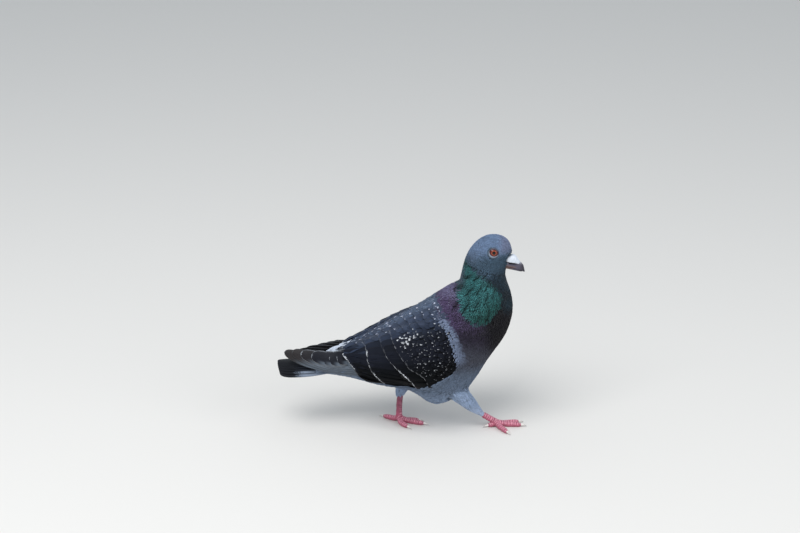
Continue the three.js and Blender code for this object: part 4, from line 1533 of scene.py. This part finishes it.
legLines = {  # down the middle of each feathered leg
    "right": np.array([(41, -17, 60), (54, -15, 43), (63.5, -12.5, 32), (69, -11.5, 26), (75, -10, 20),
                       (80, -9, 15)]),
    "left": np.array([(23, 19, 62), (9, 16, 48), (0, 12, 37), (-2.7, 10, 30.5), (-3.6, 8.6, 25)]),
}
footSettings = {
    "hubs": {"right": (94.5, -6, 4.6), "left": (-4, 5, 5)},
    "voxel": 0.42,
    "regain": 0.22,  # what the smoothing takes off is put back
    "scute": 1.9,  # length of one scale over the toes
    "shankScute": 2.4,
    "scuteDrift": 0.28,  # no two scales are quite alike
    "scuteRise": 0.42,
    "pad": 5.5,  # length of one pad under the toes
    "padRise": 0.22,
    "taper": (0.8, 0.85),  # of the shank under the down, and of the toes at the claws
    "bareShank": 9,  # more of the left shank is bare
    "shankTone": {"right": 0.35, "left": 1},
    "skin": tint(174, 80, 106),
    # painted highlight: paler tops to the scales on the upward side
    "crown": tint(214, 146, 163),
    # painted shade in the creases between the scales
    "grooveShade": tint(112, 40, 62),
    # painted shade on the underside of the toes
    "soleShade": tint(156, 88, 104),
    "shank": tint(128, 62, 84),
}
clawSettings = {
    "length": 0.8,  # as a share of the claw it replaces
    "radius": 1.3,
    "arch": 0.55,
    "seated": 1.6,  # how far it starts inside the toe
    "tone": tint(222, 217, 212),
}


def toeEnds(side):
    hub = np.array(footSettings["hubs"][side])
    ends = {}
    for toe in ("inner", "middle", "outer", "hind"):
        points = nodePoints(f"claw_{side}_{toe}")
        gap = np.linalg.norm(points - hub, axis=1)
        ends[toe] = (points[gap < gap.min() + 1.2].mean(0), points[gap > gap.max() - 0.4].mean(0))
    return ends


def makeFoot(side, material):
    s = footSettings
    hub = np.array(s["hubs"][side])
    piece = remeshed(fleshCopy(["foot_" + side]), "foot" + side.title(), s["voxel"], 0, 10)
    mesh = piece.data
    normals = vertexNormals(mesh)
    places = vertexPlaces(mesh) + normals * s["regain"]
    ankle = legLines[side][-1]
    lines = [(hub, end[0]) for end in toeEnds(side).values()] + [(hub, ankle)]
    gaps, runs = [], []
    for start, end in lines:
        reach = np.linalg.norm(end - start)
        way = (end - start) / reach
        run = np.clip((places - start) @ way, 0, reach)
        gaps.append(np.linalg.norm(places - start - run[:, None] * way, axis=1))
        runs.append(reach - run)
    which = np.argmin(gaps, 0)
    run = np.array(runs)[which, np.arange(len(places))]
    onShank = which == len(lines) - 1
    shankWay = unit(ankle - hub)
    forward = unit(np.array([1.0, 0, 0]) - shankWay * shankWay[0])
    facing = np.where(onShank, smooth(-0.3, 0.5, normals @ forward), smooth(-0.1, 0.6, normals[:, 2]))
    pitch = np.where(onShank, s["shankScute"], s["scute"])
    run = run + s["scuteDrift"] * np.sin(run * 1.3 + which * 2.1)
    plate = np.abs(np.sin(math.pi * run / pitch)) ** 0.3
    pads = np.abs(np.sin(math.pi * run / s["pad"])) ** 0.6 * (1 - facing)
    taper = np.where(onShank, s["taper"][0] * smooth(5, 0, run), s["taper"][1] * smooth(4.5, 0, run))
    rise = s["scuteRise"] * facing * (plate - 0.7) + s["padRise"] * (pads - 0.6) * (1 - facing) - taper
    places += normals * rise[:, None]
    if side == "left":
        places += unit(legLines[side][-2] - ankle) * (s["bareShank"] * smooth(7, 0, run) * onShank)[:, None]
    places[:, 2] = np.maximum(places[:, 2], 0)
    moveVertices(mesh, places)
    # painted highlight on the raised scale tops and painted shade in the creases, both on the upward side
    colour = blended(s["skin"], s["crown"], smooth(0.8, 1.0, plate) * facing)
    colour = blended(colour, s["grooveShade"], smooth(0.75, 0.45, plate) * facing)
    # painted shade: the underside of the toes is darker
    colour = blended(colour, s["soleShade"], 0.5 * (1 - facing) * ~onShank)
    colour = blended(colour, s["shank"], 0.6 * s["shankTone"][side] * smooth(6, 14, places[:, 2]))
    setColours(mesh, "scales", colour)
    finishPiece(piece, material, ["foot_" + side])


def makeClaw(side, toe, root, tip, material):
    s = clawSettings
    tip = root + (tip - root) * s["length"]
    middle = root * 0.5 + tip * 0.5 + np.array([0, 0, s["arch"]])
    line = curved([root - unit(tip - root) * s["seated"], root + (0, 0, 0.1), middle, tip], 9)[None]
    form = flatBall(14, 14)
    along = form["along"]
    way = headingAt(line, along, 0.05)[0]
    beside = unit(np.cross(way, (0, 0, 1.0)))
    upward = np.cross(beside, way)
    girth = s["radius"] * np.clip(along * 6, 0, 1) ** 0.5 * (1 - along ** 1.6) ** 0.75 + 0.02
    places = between(line, along)[0] + beside * (form["across"] * girth)[:, None] \
        + upward * (form["up"] * girth * 1.05)[:, None]
    places[:, 2] = np.maximum(places[:, 2], 0.05)
    name = "claw" + side.title() + toe.title()
    mesh, _ = arrayMesh(name, places[None], form, 1)
    setColours(mesh, "horn", s["tone"] * (1 - 0.6 * along[:, None] ** 3))
    finishPiece(newObject(name, mesh), material, [f"claw_{side}_{toe}"])


def makeFeet():
    skin = surfaceMaterial("footSkin", "scales", 0.42, 380, 1.1)
    horn = surfaceMaterial("clawHorn", "horn", 0.35, 500, 0.4, bump=0.1)
    for side in sides:
        makeFoot(side, skin)
        for toe, ends in toeEnds(side).items():
            makeClaw(side, toe, *ends, horn)


# the whole bird

print("camera, floor and light")
makeCamera()
makeStage()
mottleGroup = makeMottleGroup()
vaneGroup = makeVaneGroup()
partTrees = {name: partTree(name) for name in nodes}
eyes = eyeData()
billBase = np.array(billSettings["base"])

print("outline and skin")
outline = makeOutline()
makeSkin()

print("small feathers")
makeCoat()

print("wings")
makeWings()

print("flight feathers")
shaftMaterial, _, shaftShader = newMaterial("featherShafts")
setInputs(shaftShader, {"Base Color": (0.035, 0.033, 0.036, 1), "Roughness": 0.35})
makePrimaries()
makeTail(shaftMaterial)

print("eyes, bill and feet")
makeEyes()
makeBill()
makeFeet()
